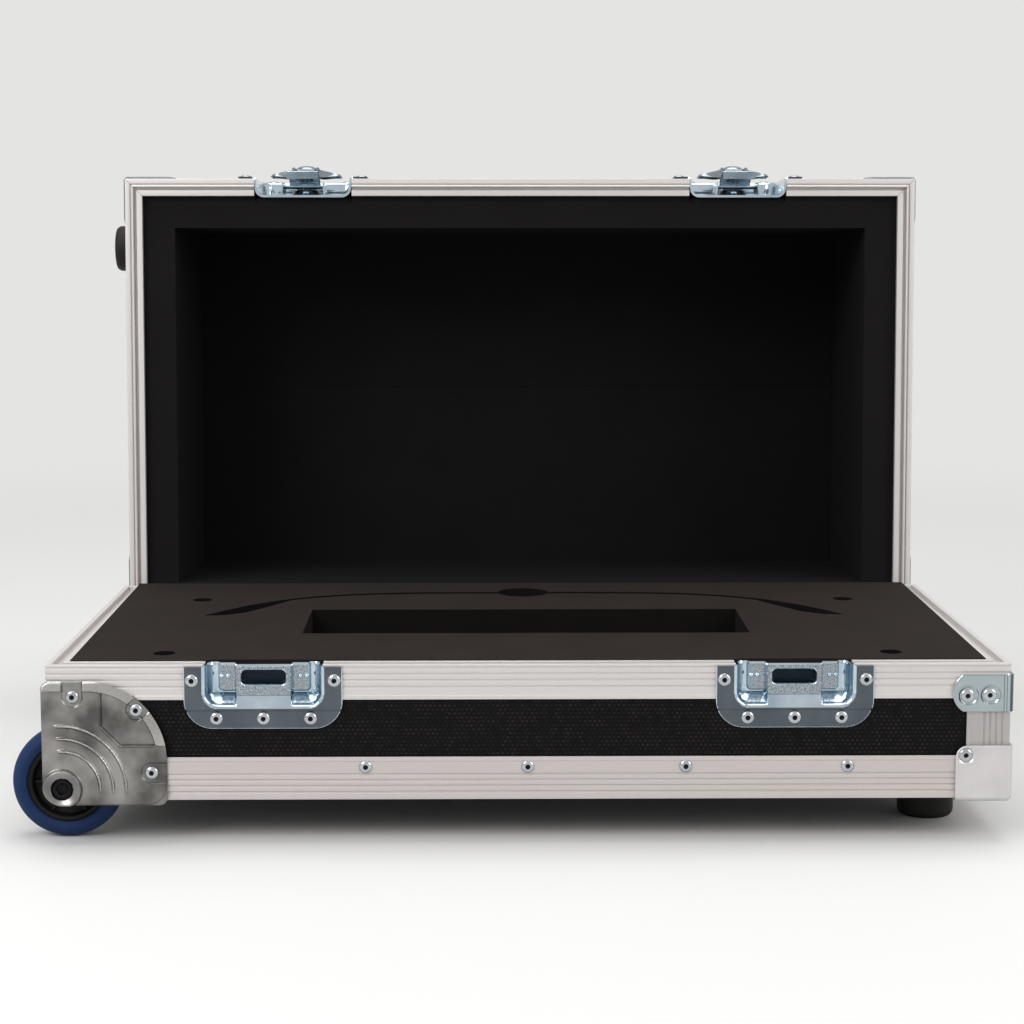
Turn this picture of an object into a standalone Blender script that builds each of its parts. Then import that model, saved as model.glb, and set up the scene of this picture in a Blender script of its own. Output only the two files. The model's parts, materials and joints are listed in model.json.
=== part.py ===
"""Wheeled road case with a hinged lid, shown open.

Metres, +Z up. X runs along the case, Y from front to back. Shapes are worked out
in case coordinates with the lid closed: x = 0 in the middle of the case, y = 0 on
the front face, z = 0 on the floor. The lid's pieces hang from an empty on the
hinge axis, which is then turned open.
"""
import math

import bmesh
import bpy
from mathutils import Matrix, Vector

for old in list(bpy.data.objects):
    bpy.data.objects.remove(old)

# Case
case_width = 0.678
case_depth = 0.364
base_height = 0.097
lid_height = 0.200
ground_clearance = 0.031
open_angle = math.radians(92.5)
seat_gap = 0.0003
joint_gap = 0.0006
overrun = 0.002

# Panels
wall_thickness = 0.0065
floor_thickness = 0.012
roof_thickness = 0.005

# Aluminium extrusions
leg = 0.0015
rim_face = 0.025
rim_width = 0.015
rim_cap = 0.0056
rim_inner_leg = 0.014
groove_inset = 0.0044
groove_width = 0.0066
groove_depth = 0.0038
tongue_width = 0.0032
tongue_height = 0.0030
tongue_rear_stop = 0.030
edge_leg = 0.031
reed_width = 0.0010
reed_depth = 0.0004
reed_pitch = 0.0049
rim_first_reed = 0.0067
rim_reeds = 4
edge_first_reed = 0.0036
edge_reeds = 4
edge_lip = 0.0030
post_relief = 0.0001

# Corner castors
wheel_radius = 0.040
wheel_width = 0.025
wheel_inset = 0.016
axle_inset = 0.011
axle_rise = 0.009
tyre_depth = 0.0115
tyre_round = 0.005
hub_radius = 0.011
web_thickness = 0.008
axle_radius = 0.005
bolt_head_radius = 0.0078
bolt_head_height = 0.0045
castor_plate = 0.0025
castor_width = 0.0875
castor_height = 0.0885
castor_depth = 0.060
castor_big_radius = 0.056
castor_axle_radius = 0.0145
castor_small_radius = 0.0056
castor_band = 0.0065
castor_press = 0.0012
sector_width = 0.046
sector_height = 0.045
sector_cut = 0.013
rib_radius = 0.045
rib_pitch = 0.009
rib_width = 0.0030
rib_count = 3
well_clearance = 0.004
well_side_clearance = 0.0035
well_wall = 0.002
boss_radius = 0.0137
boss_height = 0.0030

# Latches and their keepers
latch_castor_gap = 0.012
sheet = 0.0012
dish_width = 0.082
dish_depth = 0.0164
dish_round = 0.006
dish_side_gap = 0.0006
flange_width = 0.111
flange_round = 0.020
flange_joint_gap = 0.0015
keeper_height = 0.0455
keeper_dish_height = 0.0315
catch_width = 0.0408
catch_height = 0.023
catch_inset = 0.003
catch_wing = 0.0125
catch_wing_height = 0.020
window_width = 0.030
window_height = 0.0095
window_top = 0.005
latch_height = 0.100
latch_dish_height = 0.084
twist_height = 0.046
guide_width = 0.036
guide_height = 0.033
guide_inset = 0.0035
shaft_radius = 0.006
bearing_radius = 0.010
bearing_height = 0.006
carrier_width = 0.017
carrier_length = 0.022
carrier_inner = 0.003
carrier_outer = 0.0120
dome_radius = 0.0090
dome_height = 0.0036
hook_width = 0.027
hook_thickness = 0.002
hook_pivot_height = 0.028
hook_pivot_inset = 0.002
hook_pivot_radius = 0.0032
hook_pin_radius = 0.0022
hook_tilt = math.radians(16)
hook_lip = 0.0075
hook_lip_thickness = 0.003
hook_lip_clearance = 0.0010
wing_reach = 0.031
wing_length = 0.024
wing_thickness = 0.0015
wing_knuckle = 0.0015
wing_slope = math.radians(12.7)
wing_axis_height = 0.0100
wing_end_round = 0.005

# Hinges
hinge_drop = 0.0205
hinge_back = 0.0037
hinge_pan_depth = 0.0102
hinge_pan_height = 0.036
hinge_flange_height = 0.050
pin_radius = 0.0022
eye_radius = 0.0048
eye_width = 0.034
bracket_thickness = 0.003
hinge_leaf_width = 0.082
hinge_leaf_height = 0.045
hinge_leaf_thickness = 0.002
heel_length = 0.0108
heel_thickness = 0.004
stop_thickness = 0.0035
stop_depth = 0.003

# Corner fittings and feet
cap_leg = 0.0405
cap_thickness = 0.0018
cap_round = 0.007
brace_leg = 0.0405
brace_height = 0.0267
brace_thickness = 0.0015
brace_joint_gap = 0.0076
brace_chamfer = 0.008
foot_radius = 0.0215
foot_taper = 0.0015
foot_inset_x = 0.0434
foot_inset_front = 0.082
foot_inset_rear = 0.063
foot_bore_radius = 0.008
foot_bore_depth = 0.009
side_foot_inset_front = 0.0545
side_foot_top_gap = 0.0015

# Foam
foam_proud = 0.0025
lining_depth = 0.027
lining_relief = 0.006
sheet_foam = 0.005
pocket_width_share = 0.4956
pocket_depth = 0.102
pocket_front = 0.117
pocket_hollow = 0.045
disc_radius = 0.021
disc_rear = 0.064
disc_hollow = 0.020
slot_reach_share = 0.3702
slot_fall = 0.107
slot_bend = 4.3
slot_width = 0.004
slot_hollow = 0.030
blade_start_share = 0.765
blade_swell = 0.030
dimple_radius = 0.008
dimple_spacing_share = 0.7692
dimple_front = 0.041
dimple_rear = 0.098
dimple_hollow = 0.012

# Places worked out from the sizes above
half_width = case_width / 2
base_z = ground_clearance
joint_z = base_z + base_height
lid_z = joint_z + joint_gap
lid_top_z = lid_z + lid_height
wall_inset = leg + seat_gap
wall_inner = wall_inset + wall_thickness
floor_top = base_z + wall_inset + floor_thickness
lid_roof = lid_top_z - wall_inset - roof_thickness
axle_x = -half_width + axle_inset
axle_z = base_z + axle_rise
latch_x = half_width + castor_plate - castor_width - latch_castor_gap - flange_width / 2
slot_reach = case_width * slot_reach_share
blade_start = slot_reach * blade_start_share
hinge_y = case_depth + hinge_back
hinge_z = joint_z - hinge_drop
foam_top = joint_z + foam_proud
well_radius = wheel_radius + well_clearance
well_front = wheel_inset - well_side_clearance
well_back = wheel_inset + wheel_width + well_side_clearance
front = -1
rear = 1
left = -1
right = 1


def paint(obj, colour, roughness, metallic):
    material = bpy.data.materials.new(obj.name)
    material.use_nodes = True
    shader = material.node_tree.nodes["Principled BSDF"]
    shader.inputs["Base Color"].default_value = (*colour, 1)
    shader.inputs["Roughness"].default_value = roughness
    shader.inputs["Metallic"].default_value = metallic
    obj.data.materials.append(material)


ALUMINIUM = ((0.60, 0.59, 0.58), 0.35, 0.9)
ZINC = ((0.42, 0.46, 0.50), 0.28, 0.95)
CAST_ZINC = ((0.36, 0.36, 0.35), 0.38, 0.9)
SATIN_STEEL = ((0.62, 0.62, 0.61), 0.40, 0.85)
LAMINATE = ((0.010, 0.009, 0.010), 0.70, 0.0)
BLACK_PLASTIC = ((0.008, 0.008, 0.009), 0.50, 0.0)
BLACK_STEEL = ((0.010, 0.010, 0.011), 0.35, 0.6)
BLUE_RUBBER = ((0.012, 0.033, 0.120), 0.60, 0.0)
BLACK_RUBBER = ((0.009, 0.009, 0.009), 0.80, 0.0)
GREY_FOAM = ((0.038, 0.031, 0.028), 0.95, 0.0)
BLACK_FOAM = ((0.007, 0.006, 0.006), 0.95, 0.0)


class Holder:
    """An empty that pieces hang from, and its place in case coordinates."""

    def __init__(self, name, place, parent=None):
        self.place = Vector(place)
        self.empty = bpy.data.objects.new(name, None)
        bpy.context.scene.collection.objects.link(self.empty)
        if parent:
            self.empty.parent = parent.empty
            self.empty.location = self.place - parent.place


case = Holder("case_frame", (0, 0, 0))
lid = Holder("lid_pivot", (0, hinge_y, hinge_z), case)


def add_object(name, shape, holder, origin):
    """Link a shape, given in case coordinates, with its own origin at `origin`."""
    place = Vector(origin) if origin else holder.place
    shape.transform(Matrix.Translation(-place))
    mesh = bpy.data.meshes.new(name)
    shape.to_mesh(mesh)
    shape.free()
    obj = bpy.data.objects.new(name, mesh)
    bpy.context.scene.collection.objects.link(obj)
    obj.parent = holder.empty
    obj.location = place - holder.place
    return obj


def piece(name, shape, holder, finish, origin=None, smooth=False):
    obj = add_object(name, shape, holder, origin)
    paint(obj, *finish)
    if smooth:
        obj.data.shade_smooth()
        obj.data.set_sharp_from_angle(angle=math.radians(40))
    return obj


def tool(name, shape, holder):
    """A shape that only cuts or joins other pieces."""
    obj = add_object(name, shape, holder, None)
    obj.hide_render = True
    obj.display_type = "WIRE"
    return obj


def combine(obj, operation, *tools):
    for other in tools:
        boolean = obj.modifiers.new(other.name, "BOOLEAN")
        boolean.operation = operation
        boolean.object = other
        boolean.solver = "EXACT"


def cut(obj, *tools):
    combine(obj, "DIFFERENCE", *tools)


def join(obj, *tools):
    combine(obj, "UNION", *tools)


def arc(centre_a, centre_b, radius, start, end, steps):
    """Points along an arc, angles in degrees."""
    points = []
    for step in range(steps + 1):
        angle = math.radians(start + (end - start) * step / steps)
        points.append((centre_a + radius * math.cos(angle), centre_b + radius * math.sin(angle)))
    return points


def loft(loops, closed=False):
    """Skin a list of loops of 3-D points, capped at both ends unless closed."""
    shape = bmesh.new()
    rows = [[shape.verts.new(point) for point in loop] for loop in loops]
    pairs = list(zip(rows, rows[1:]))
    if closed:
        pairs.append((rows[-1], rows[0]))
    for one, two in pairs:
        for index in range(len(one)):
            after = (index + 1) % len(one)
            shape.faces.new((one[index], one[after], two[after], two[index]))
    if not closed:
        shape.faces.new(rows[0])
        shape.faces.new(rows[-1])
    bmesh.ops.recalc_face_normals(shape, faces=shape.faces)
    return shape


def prism(outline, axis, start, end):
    """Extrude a flat outline along X, Y or Z."""
    place = {
        "X": lambda a, b, c: (c, a, b),
        "Y": lambda a, b, c: (a, c, b),
        "Z": lambda a, b, c: (a, b, c),
    }[axis]
    return loft([[place(a, b, level) for a, b in outline] for level in (start, end)])


def block(low, high):
    outline = [(low[0], low[1]), (high[0], low[1]), (high[0], high[1]), (low[0], high[1])]
    return prism(outline, "Z", low[2], high[2])


def turned(profile, centre, axis, steps):
    """Turn a profile of (radius, place along the axis) pairs round an axis."""
    place = {
        "X": lambda c, s, along: (centre[0] + along, centre[1] + c, centre[2] + s),
        "Y": lambda c, s, along: (centre[0] + c, centre[1] + along, centre[2] + s),
        "Z": lambda c, s, along: (centre[0] + c, centre[1] + s, centre[2] + along),
    }[axis]
    loops = []
    for radius, along in profile:
        angles = [2 * math.pi * step / steps for step in range(steps)]
        loops.append([place(radius * math.cos(a), radius * math.sin(a), along) for a in angles])
    return loops


def solid_of_revolution(profile, centre, axis, steps):
    """A turned solid without a bore: the profile runs from end to end."""
    return loft(turned(profile, centre, axis, steps))


def ring_of_revolution(profile, centre, axis, steps):
    """A turned solid with a bore: the profile is a closed outline."""
    return loft(turned(profile, centre, axis, steps), closed=True)


def rod(radius, centre, axis, start, end, steps):
    return solid_of_revolution([(radius, start), (radius, end)], centre, axis, steps)


def sweep(section, stations, level, upward):
    """Run a section of (inset, height) points along mitred stations.

    Each station is the outer corner and how far x and y move for each metre of inset.
    """
    loops = []
    for x, y, inset_x, inset_y in stations:
        loops.append([(x + inset_x * u, y + inset_y * u, level + upward * v) for u, v in section])
    return loft(loops)


def case_corners():
    return {
        (left, front): (-half_width, 0, 1, 1),
        (right, front): (half_width, 0, -1, 1),
        (left, rear): (-half_width, case_depth, 1, -1),
        (right, rear): (half_width, case_depth, -1, -1),
    }


# Panels: laminated plywood sheets held in the extrusions

def build_wall_set(prefix, holder, low, high):
    """Front, rear, left and right walls between two heights."""
    long_end = half_width - wall_inset
    short_start = wall_inner + seat_gap
    back = case_depth
    walls = {
        "front": ((-long_end, wall_inset, low), (long_end, wall_inner, high)),
        "rear": ((-long_end, back - wall_inner, low), (long_end, back - wall_inset, high)),
        "left": ((-long_end, short_start, low), (wall_inner - half_width, back - short_start, high)),
        "right": ((half_width - wall_inner, short_start, low), (long_end, back - short_start, high)),
    }
    return {
        side: piece(f"{prefix}_{side}_panel", block(*corners), holder, LAMINATE)
        for side, corners in walls.items()
    }


def build_flat_panel(name, holder, low, high):
    end = half_width - wall_inset
    corners = (-end, wall_inset, low), (end, case_depth - wall_inset, high)
    return piece(name, block(*corners), holder, LAMINATE)


base_walls = build_wall_set("base", case, floor_top + seat_gap, joint_z - rim_cap - seat_gap)
base_floor = build_flat_panel("base_floor_panel", case, base_z + wall_inset, floor_top)
lid_walls = build_wall_set("lid", lid, lid_z + rim_cap + seat_gap, lid_roof - seat_gap)
lid_roof_panel = build_flat_panel("lid_top_panel", lid, lid_roof, lid_top_z - wall_inset)


# Rim extrusions: a grooved section on the base, one with a tongue on the lid

def reeded_edge(first, count, pitch):
    """Shallow V grooves down a face, as (inset, height) points."""
    points = []
    for number in range(count):
        middle = first + number * pitch
        points += [
            (0, middle - reed_width / 2),
            (reed_depth, middle),
            (0, middle + reed_width / 2),
        ]
    return points


def rim_section(grooved):
    """Section from the joint face away from the joint, as (inset, height) points."""
    channel = wall_inner + seat_gap
    groove_end = groove_inset + groove_width
    groove_middle = groove_inset + groove_width / 2
    if grooved:
        joint_face = [
            (groove_end, 0),
            (groove_end, groove_depth),
            (groove_inset, groove_depth),
            (groove_inset, 0),
        ]
    else:
        joint_face = [
            (groove_middle + tongue_width / 2, 0),
            (groove_middle + tongue_width / 4, -tongue_height),
            (groove_middle - tongue_width / 4, -tongue_height),
            (groove_middle - tongue_width / 2, 0),
        ]
    body = [
        (0, rim_face),
        (leg, rim_face),
        (leg, rim_cap),
        (channel, rim_cap),
        (channel, rim_inner_leg),
        (channel + leg, rim_inner_leg),
        (channel + leg, rim_cap),
        (rim_width, rim_cap),
        (rim_width, 0),
    ]
    return [(0, 0)] + reeded_edge(rim_first_reed, rim_reeds, reed_pitch) + body + joint_face


cutout_half = dish_width / 2 + dish_side_gap
corners = case_corners()
outer_run = [
    (-latch_x - cutout_half, 0, 0, 1),
    corners[left, front],
    corners[left, rear],
    corners[right, rear],
    corners[right, front],
    (latch_x + cutout_half, 0, 0, 1),
]
middle_run = [(-latch_x + cutout_half, 0, 0, 1), (latch_x - cutout_half, 0, 0, 1)]

base_rim = piece("base_rim_extrusion", sweep(rim_section(True), outer_run, joint_z, -1), case, ALUMINIUM)
base_rim_middle = piece(
    "base_rim_front_middle", sweep(rim_section(True), middle_run, joint_z, -1), case, ALUMINIUM
)
lid_rim = piece("lid_rim_extrusion", sweep(rim_section(False), outer_run, lid_z, 1), lid, ALUMINIUM)
lid_rim_middle = piece(
    "lid_rim_front_middle", sweep(rim_section(False), middle_run, lid_z, 1), lid, ALUMINIUM
)
rear_tongue_cutter = tool(
    "rear_tongue_cutter",
    block(
        (-case_width, case_depth - tongue_rear_stop, lid_z - tongue_height - overrun),
        (case_width, case_depth + overrun, lid_z),
    ),
    lid,
)
cut(lid_rim, rear_tongue_cutter)


# Edge extrusions: reeded right angles along the base's bottom and the lid's top

def edge_section():
    """Right angle with reeds on both faces, as (inset, height) points."""
    reeds = reeded_edge(edge_first_reed, edge_reeds, reed_pitch)
    lip = reeded_edge(edge_leg - edge_lip, 1, reed_pitch)
    upright = reeds + lip
    flat = [(v, u) for u, v in reversed(upright)]
    inside = [(0, edge_leg), (leg, edge_leg), (leg, leg), (edge_leg, leg), (edge_leg, 0)]
    return [(0, 0)] + upright + inside + flat


def post(name, holder, side_x, side_y, low, high):
    """Corner angle between the edge extrusion and the rim, reeded on both faces."""
    inner = leg - post_relief
    reeds = [(post_relief + u, v) for u, v in reeded_edge(edge_first_reed, edge_reeds, reed_pitch)]
    mirrored = [(v, u) for u, v in reversed(reeds)]
    end = edge_leg - post_relief
    outline = [(post_relief, post_relief)] + reeds + [
        (post_relief, end),
        (inner, end),
        (inner, inner),
        (end, inner),
        (end, post_relief),
    ] + mirrored
    x, y, inset_x, inset_y = corners[side_x, side_y]
    placed = [(x + inset_x * u, y + inset_y * v) for u, v in outline]
    return tool(name, prism(placed, "Z", low, high), holder)


edge_run = [
    (-half_width, 0, 0, 1),
    corners[right, front],
    corners[right, rear],
    (-half_width, case_depth, 0, -1),
]
base_edge = piece("base_edge_extrusion", sweep(edge_section(), edge_run, base_z, 1), case, ALUMINIUM)
for side_name, side in (("front", front), ("rear", rear)):
    join(base_edge, post(
        f"base_post_{side_name}", case, right, side,
        base_z + edge_leg - overrun, joint_z - rim_face - seat_gap,
    ))

castor_end = castor_depth + seat_gap
left_run = [(-half_width, castor_end, 1, 0), (-half_width, case_depth - castor_end, 1, 0)]
piece("base_edge_left", sweep(edge_section(), left_run, base_z, 1), case, ALUMINIUM)

lid_run = [corners[left, front], corners[right, front], corners[right, rear], corners[left, rear]]
lid_ring = [
    [(x + inset_x * u, y + inset_y * u, lid_top_z - v) for u, v in edge_section()]
    for x, y, inset_x, inset_y in lid_run
]
lid_edge = piece("lid_edge_extrusion", loft(lid_ring, closed=True), lid, ALUMINIUM)
for (side_x, side_y) in corners:
    join(lid_edge, post(
        f"lid_post_{side_x}_{side_y}", lid, side_x, side_y,
        lid_z + rim_face + seat_gap, lid_top_z - edge_leg + overrun,
    ))


# Pressed dishes, shared by the latches, the keepers and the hinges

def dish_outline(middle, half, depth, radius, face, inward):
    """Open pan seen from above: straight sides, rounded back corners."""
    back = depth - radius
    turn = arc(half - radius, back, radius, 0, 90, 5)
    right_side = [(half, 0)] + turn
    points = right_side + [(-a, b) for a, b in reversed(right_side)]
    return [(middle + a, face + inward * b) for a, b in points]


def flange_outline(middle, half, low, high, radius, round_low):
    """Plate seen from the front with two rounded corners at one end."""
    if round_low:
        points = arc(half - radius, low + radius, radius, -90, 0, 8) + [(half, high)]
    else:
        points = [(half, low)] + arc(half - radius, high - radius, radius, 0, 90, 8)
    points += [(-a, b) for a, b in reversed(points)]
    return [(middle + a, b) for a, b in points]


def dish(name, holder, middle, face, inward, low, high, depth, flange, open_up):
    """A flanged pan let into the case: face is its wall's plane, inward its way in."""
    outside = face - inward * seat_gap
    flange_low, flange_high = flange
    rounded_low = open_up
    plate = flange_outline(middle, flange_width / 2, flange_low, flange_high, flange_round, rounded_low)
    obj = piece(name, prism(plate, "Y", outside, outside - inward * sheet), holder, ZINC, smooth=True)
    pan_face = outside - inward * sheet / 2
    half = dish_width / 2
    pan = dish_outline(middle, half, depth, dish_round, pan_face, inward)
    inner_face = outside - inward * (sheet + overrun)
    inner = dish_outline(
        middle, half - sheet, depth + sheet / 2 + overrun - sheet, dish_round - sheet, inner_face, inward
    )
    inner_low = low - overrun if not open_up else low + sheet
    inner_high = high + overrun if open_up else high - sheet
    join(obj, tool(f"{name}_pan", prism(pan, "Z", low, high), holder))
    cut(obj, tool(f"{name}_hollow", prism(inner, "Z", inner_low, inner_high), holder))
    return obj


def dish_cutter(name, holder, middle, face, inward, low, high, depth):
    """The room that a pan needs in walls, rims and foam."""
    grown = dish_side_gap
    outline = dish_outline(
        middle, dish_width / 2 + grown, depth + grown + overrun, dish_round + grown,
        face - inward * overrun, inward,
    )
    return tool(name, prism(outline, "Z", low - grown, high + grown), holder)


keeper_low = joint_z - keeper_height
keeper_flange_high = joint_z - flange_joint_gap
pan_floor = dish_depth - sheet - sheet / 2 - seat_gap
pan_middle = pan_floor + sheet / 2
catch_wall = leg


def build_keeper(name, middle):
    """Keeper: dish with a raised catch box whose window takes the hook's lip."""
    low = joint_z - keeper_dish_height
    keeper = dish(
        name, case, middle, 0, 1, low, joint_z, dish_depth, (keeper_low, keeper_flange_high), True
    )
    half = catch_width / 2
    catch_top = joint_z - seat_gap
    catch_low = joint_z - catch_height
    box = block((middle - half, catch_inset, catch_low), (middle + half, pan_middle, catch_top))
    wings = block(
        (middle - half - catch_wing, pan_floor - catch_wall, joint_z - catch_wing_height),
        (middle + half + catch_wing, pan_middle, catch_top - flange_joint_gap),
    )
    hollow = block(
        (middle - half + catch_wall, catch_inset + catch_wall, catch_low + catch_wall),
        (middle + half - catch_wall, pan_floor - catch_wall, joint_z + overrun),
    )
    window = block(
        (middle - window_width / 2, catch_inset - overrun, joint_z - window_top - window_height),
        (middle + window_width / 2, catch_inset + catch_wall + overrun, joint_z - window_top),
    )
    join(keeper, tool(f"{name}_box", box, case), tool(f"{name}_wings", wings, case))
    cut(keeper, tool(f"{name}_box_hollow", hollow, case), tool(f"{name}_window", window, case))
    return dish_cutter(f"{name}_room", case, middle, 0, 1, low, foam_top, dish_depth)


keeper_rooms = [build_keeper("latch_keeper_left", -latch_x), build_keeper("latch_keeper_right", latch_x)]
cut(base_walls["front"], *keeper_rooms)

twist_z = lid_z + twist_height
hook_pivot_z = lid_z + hook_pivot_height
hook_tip_z = joint_z - window_top - hook_lip_clearance - hook_lip_thickness


def build_latch_dish(name, middle):
    """Latch dish: pan with two guide cheeks for the hook and a bearing for the cam."""
    high = lid_z + latch_dish_height
    flange = (lid_z + flange_joint_gap, lid_z + latch_height)
    obj = dish(name, lid, middle, 0, 1, lid_z, high, dish_depth, flange, False)
    for side in (left, right):
        inner = middle + side * (guide_width / 2 - catch_wall)
        outer = middle + side * guide_width / 2
        cheek = block(
            (min(inner, outer), guide_inset, lid_z + flange_joint_gap),
            (max(inner, outer), pan_middle, lid_z + guide_height),
        )
        join(obj, tool(f"{name}_cheek_{side}", cheek, lid))
    bearing_inner = shaft_radius + seat_gap
    bearing = ring_of_revolution(
        [
            (bearing_inner, pan_middle),
            (bearing_radius, pan_middle),
            (bearing_radius, pan_floor - bearing_height),
            (bearing_inner, pan_floor - bearing_height),
        ],
        (middle, 0, twist_z), "Y", 20,
    )
    join(obj, tool(f"{name}_bearing", bearing, lid))
    for side in (left, right):
        socket = rod(
            hook_pin_radius + seat_gap, (middle, hook_pivot_inset + guide_inset, hook_pivot_z), "X",
            side * (guide_width / 2 - catch_wall - overrun), side * (guide_width / 2 + overrun), 12,
        )
        cut(obj, tool(f"{name}_socket_{side}", socket, lid))
    return dish_cutter(f"{name}_room", lid, middle, 0, 1, lid_z, high, dish_depth)


def build_cam(name, middle):
    """Turning part: shaft in the bearing, carrier for the wings and domed rivet head."""
    shaft = rod(
        shaft_radius, (middle, 0, twist_z), "Y", pan_floor - seat_gap, -carrier_inner - overrun, 20
    )
    cam = piece(name, shaft, lid, ZINC, origin=(middle, 0, twist_z), smooth=True)
    half_x = carrier_width / 2
    half_z = carrier_length / 2
    carrier = block(
        (middle - half_x, -carrier_outer, twist_z - half_z),
        (middle + half_x, -carrier_inner, twist_z + half_z),
    )
    steps = 5
    dome_profile = [(half_x, -carrier_outer + overrun), (half_x, -carrier_outer)]
    for step in range(steps):
        angle = math.pi / 2 * step / steps
        dome_profile.append((dome_radius * math.cos(angle), -carrier_outer - dome_height * math.sin(angle)))
    dome = solid_of_revolution(dome_profile, (middle, 0, twist_z), "Y", 20)
    join(cam, tool(f"{name}_carrier", carrier, lid), tool(f"{name}_dome", dome, lid))
    return cam


def build_wing(name, middle, side):
    """Half of the butterfly handle, hinged on the carrier's edge and sloping away."""
    axis_x = middle + side * (carrier_width / 2 + seat_gap + wing_knuckle)
    half_z = wing_length / 2
    tip = wing_reach / math.cos(wing_slope) - (axis_x - middle) * side
    outline = [(0, -half_z)] + arc(
        tip - wing_end_round, wing_end_round - half_z, wing_end_round, -90, 0, 4
    ) + arc(tip - wing_end_round, half_z - wing_end_round, wing_end_round, 0, 90, 4) + [(0, half_z)]
    placed = [(axis_x + side * a, twist_z + b) for a, b in outline]
    blade = prism(placed, "Y", -wing_axis_height - wing_thickness / 2, -wing_axis_height + wing_thickness / 2)
    centre = (axis_x, -wing_axis_height, twist_z)
    wing = piece(name, blade, lid, ZINC, origin=centre, smooth=True)
    knuckle = tool(f"{name}_knuckle", rod(wing_knuckle, (0, 0, 0), "Z", -half_z, half_z, 12), lid)
    knuckle.data.transform(Matrix.Translation(lid.place))
    knuckle.parent = wing
    knuckle.location = (0, 0, 0)
    join(wing, knuckle)
    wing.rotation_euler.z = side * wing_slope
    return wing


def build_hook(name, middle):
    """Hook plate: pivot pin, drop plate and a lip that enters the keeper's window."""
    pivot = (middle, hook_pivot_inset + guide_inset, hook_pivot_z)
    plate_y = hook_thickness / 2
    half = hook_width / 2
    lip_end = catch_inset + catch_wall + hook_lip / 2
    outline = [
        (pivot[1] + hook_pin_radius, hook_pivot_z),
        (plate_y, hook_tip_z + hook_lip_thickness),
        (lip_end, hook_tip_z + hook_lip_thickness),
        (lip_end, hook_tip_z),
        (-plate_y, hook_tip_z),
        (-plate_y, hook_pivot_z - hook_pivot_radius),
        (pivot[1] - hook_pin_radius, hook_pivot_z + hook_pivot_radius),
    ]
    hook = piece(name, prism(outline, "X", middle - half, middle + half), lid, ZINC, origin=pivot)
    pin_end = guide_width / 2 - seat_gap
    pin = tool(f"{name}_pin", rod(hook_pin_radius, (0, 0, 0), "X", -pin_end, pin_end, 12), lid)
    pin.data.transform(Matrix.Translation(lid.place))
    pin.parent = hook
    pin.location = (0, 0, 0)
    join(hook, pin)
    hook.rotation_euler.x = -hook_tilt
    return hook


latch_rooms = []
for side_name, middle in (("left", -latch_x), ("right", latch_x)):
    latch_rooms.append(build_latch_dish(f"latch_dish_{side_name}", middle))
    build_cam(f"latch_cam_{side_name}", middle)
    build_wing(f"latch_wing_{side_name}_a", middle, left)
    build_wing(f"latch_wing_{side_name}_b", middle, right)
    build_hook(f"latch_hook_{side_name}", middle)
cut(lid_walls["front"], *latch_rooms)


# Hinges: dished base half with a pin, and a lid leaf that stops on a bar inside the pan

def build_hinge(side_name, middle):
    low = joint_z - hinge_pan_height
    base_name = f"hinge_base_{side_name}"
    flange = (joint_z - hinge_flange_height, joint_z - flange_joint_gap)
    obj = dish(base_name, case, middle, case_depth, -1, low, joint_z, hinge_pan_depth, flange, True)
    floor_y = case_depth - hinge_pan_depth + sheet / 2
    eye_half = eye_width / 2
    for side in (left, right):
        inner = middle + side * (eye_half + seat_gap)
        outer = inner + side * bracket_thickness
        outline = [
            (floor_y, hinge_z - eye_radius),
            (floor_y, hinge_z + eye_radius),
            *reversed(arc(hinge_y, hinge_z, eye_radius, -90, 90, 8)),
        ]
        bracket = prism(outline, "X", min(inner, outer), max(inner, outer))
        join(obj, tool(f"{base_name}_bracket_{side}", bracket, case))
    pin_half = eye_half + seat_gap + bracket_thickness / 2
    pin = rod(pin_radius, (middle, hinge_y, hinge_z), "X", -pin_half, pin_half, 14)
    join(obj, tool(f"{base_name}_pin", pin, case))
    lean = open_angle - math.pi / 2
    heel_top = heel_thickness / 2 / math.cos(lean) + heel_length * math.sin(lean)
    stop_low = hinge_z + heel_top + seat_gap
    stop_end = hinge_y - heel_length + stop_depth
    stop = block(
        (middle - pin_half, floor_y, stop_low), (middle + pin_half, stop_end, stop_low + stop_thickness)
    )
    join(obj, tool(f"{base_name}_stop", stop, case))
    room = dish_cutter(
        f"{base_name}_room", case, middle, case_depth, -1, low, joint_z, hinge_pan_depth
    )

    leaf_name = f"hinge_leaf_{side_name}"
    leaf_face = case_depth + seat_gap
    leaf_low = lid_z + flange_joint_gap
    half = hinge_leaf_width / 2
    leaf = piece(
        leaf_name,
        block(
            (middle - half, leaf_face, leaf_low),
            (middle + half, leaf_face + hinge_leaf_thickness, leaf_low + hinge_leaf_height),
        ),
        lid, ZINC, smooth=True,
    )
    arm = block(
        (middle - eye_half, leaf_face, hinge_z),
        (middle + eye_half, leaf_face + hinge_leaf_thickness, leaf_low + overrun),
    )
    eye = rod(eye_radius, (middle, hinge_y, hinge_z), "X", -eye_half, eye_half, 18)
    heel = block(
        (middle - eye_half, hinge_y - heel_thickness / 2, hinge_z - heel_length),
        (middle + eye_half, hinge_y + heel_thickness / 2, hinge_z),
    )
    bore = rod(pin_radius + seat_gap, (middle, hinge_y, hinge_z), "X", -eye_width, eye_width, 14)
    join(leaf, tool(f"{leaf_name}_arm", arm, lid), tool(f"{leaf_name}_eye", eye, lid))
    join(leaf, tool(f"{leaf_name}_heel", heel, lid))
    cut(leaf, tool(f"{leaf_name}_bore", bore, lid))
    return room


hinge_rooms = [build_hinge("left", -latch_x), build_hinge("right", latch_x)]
cut(base_walls["rear"], *hinge_rooms)
cut(base_rim, *hinge_rooms)


# Corner castors: zinc housing in the case's corner, wheel on a bolt

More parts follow.
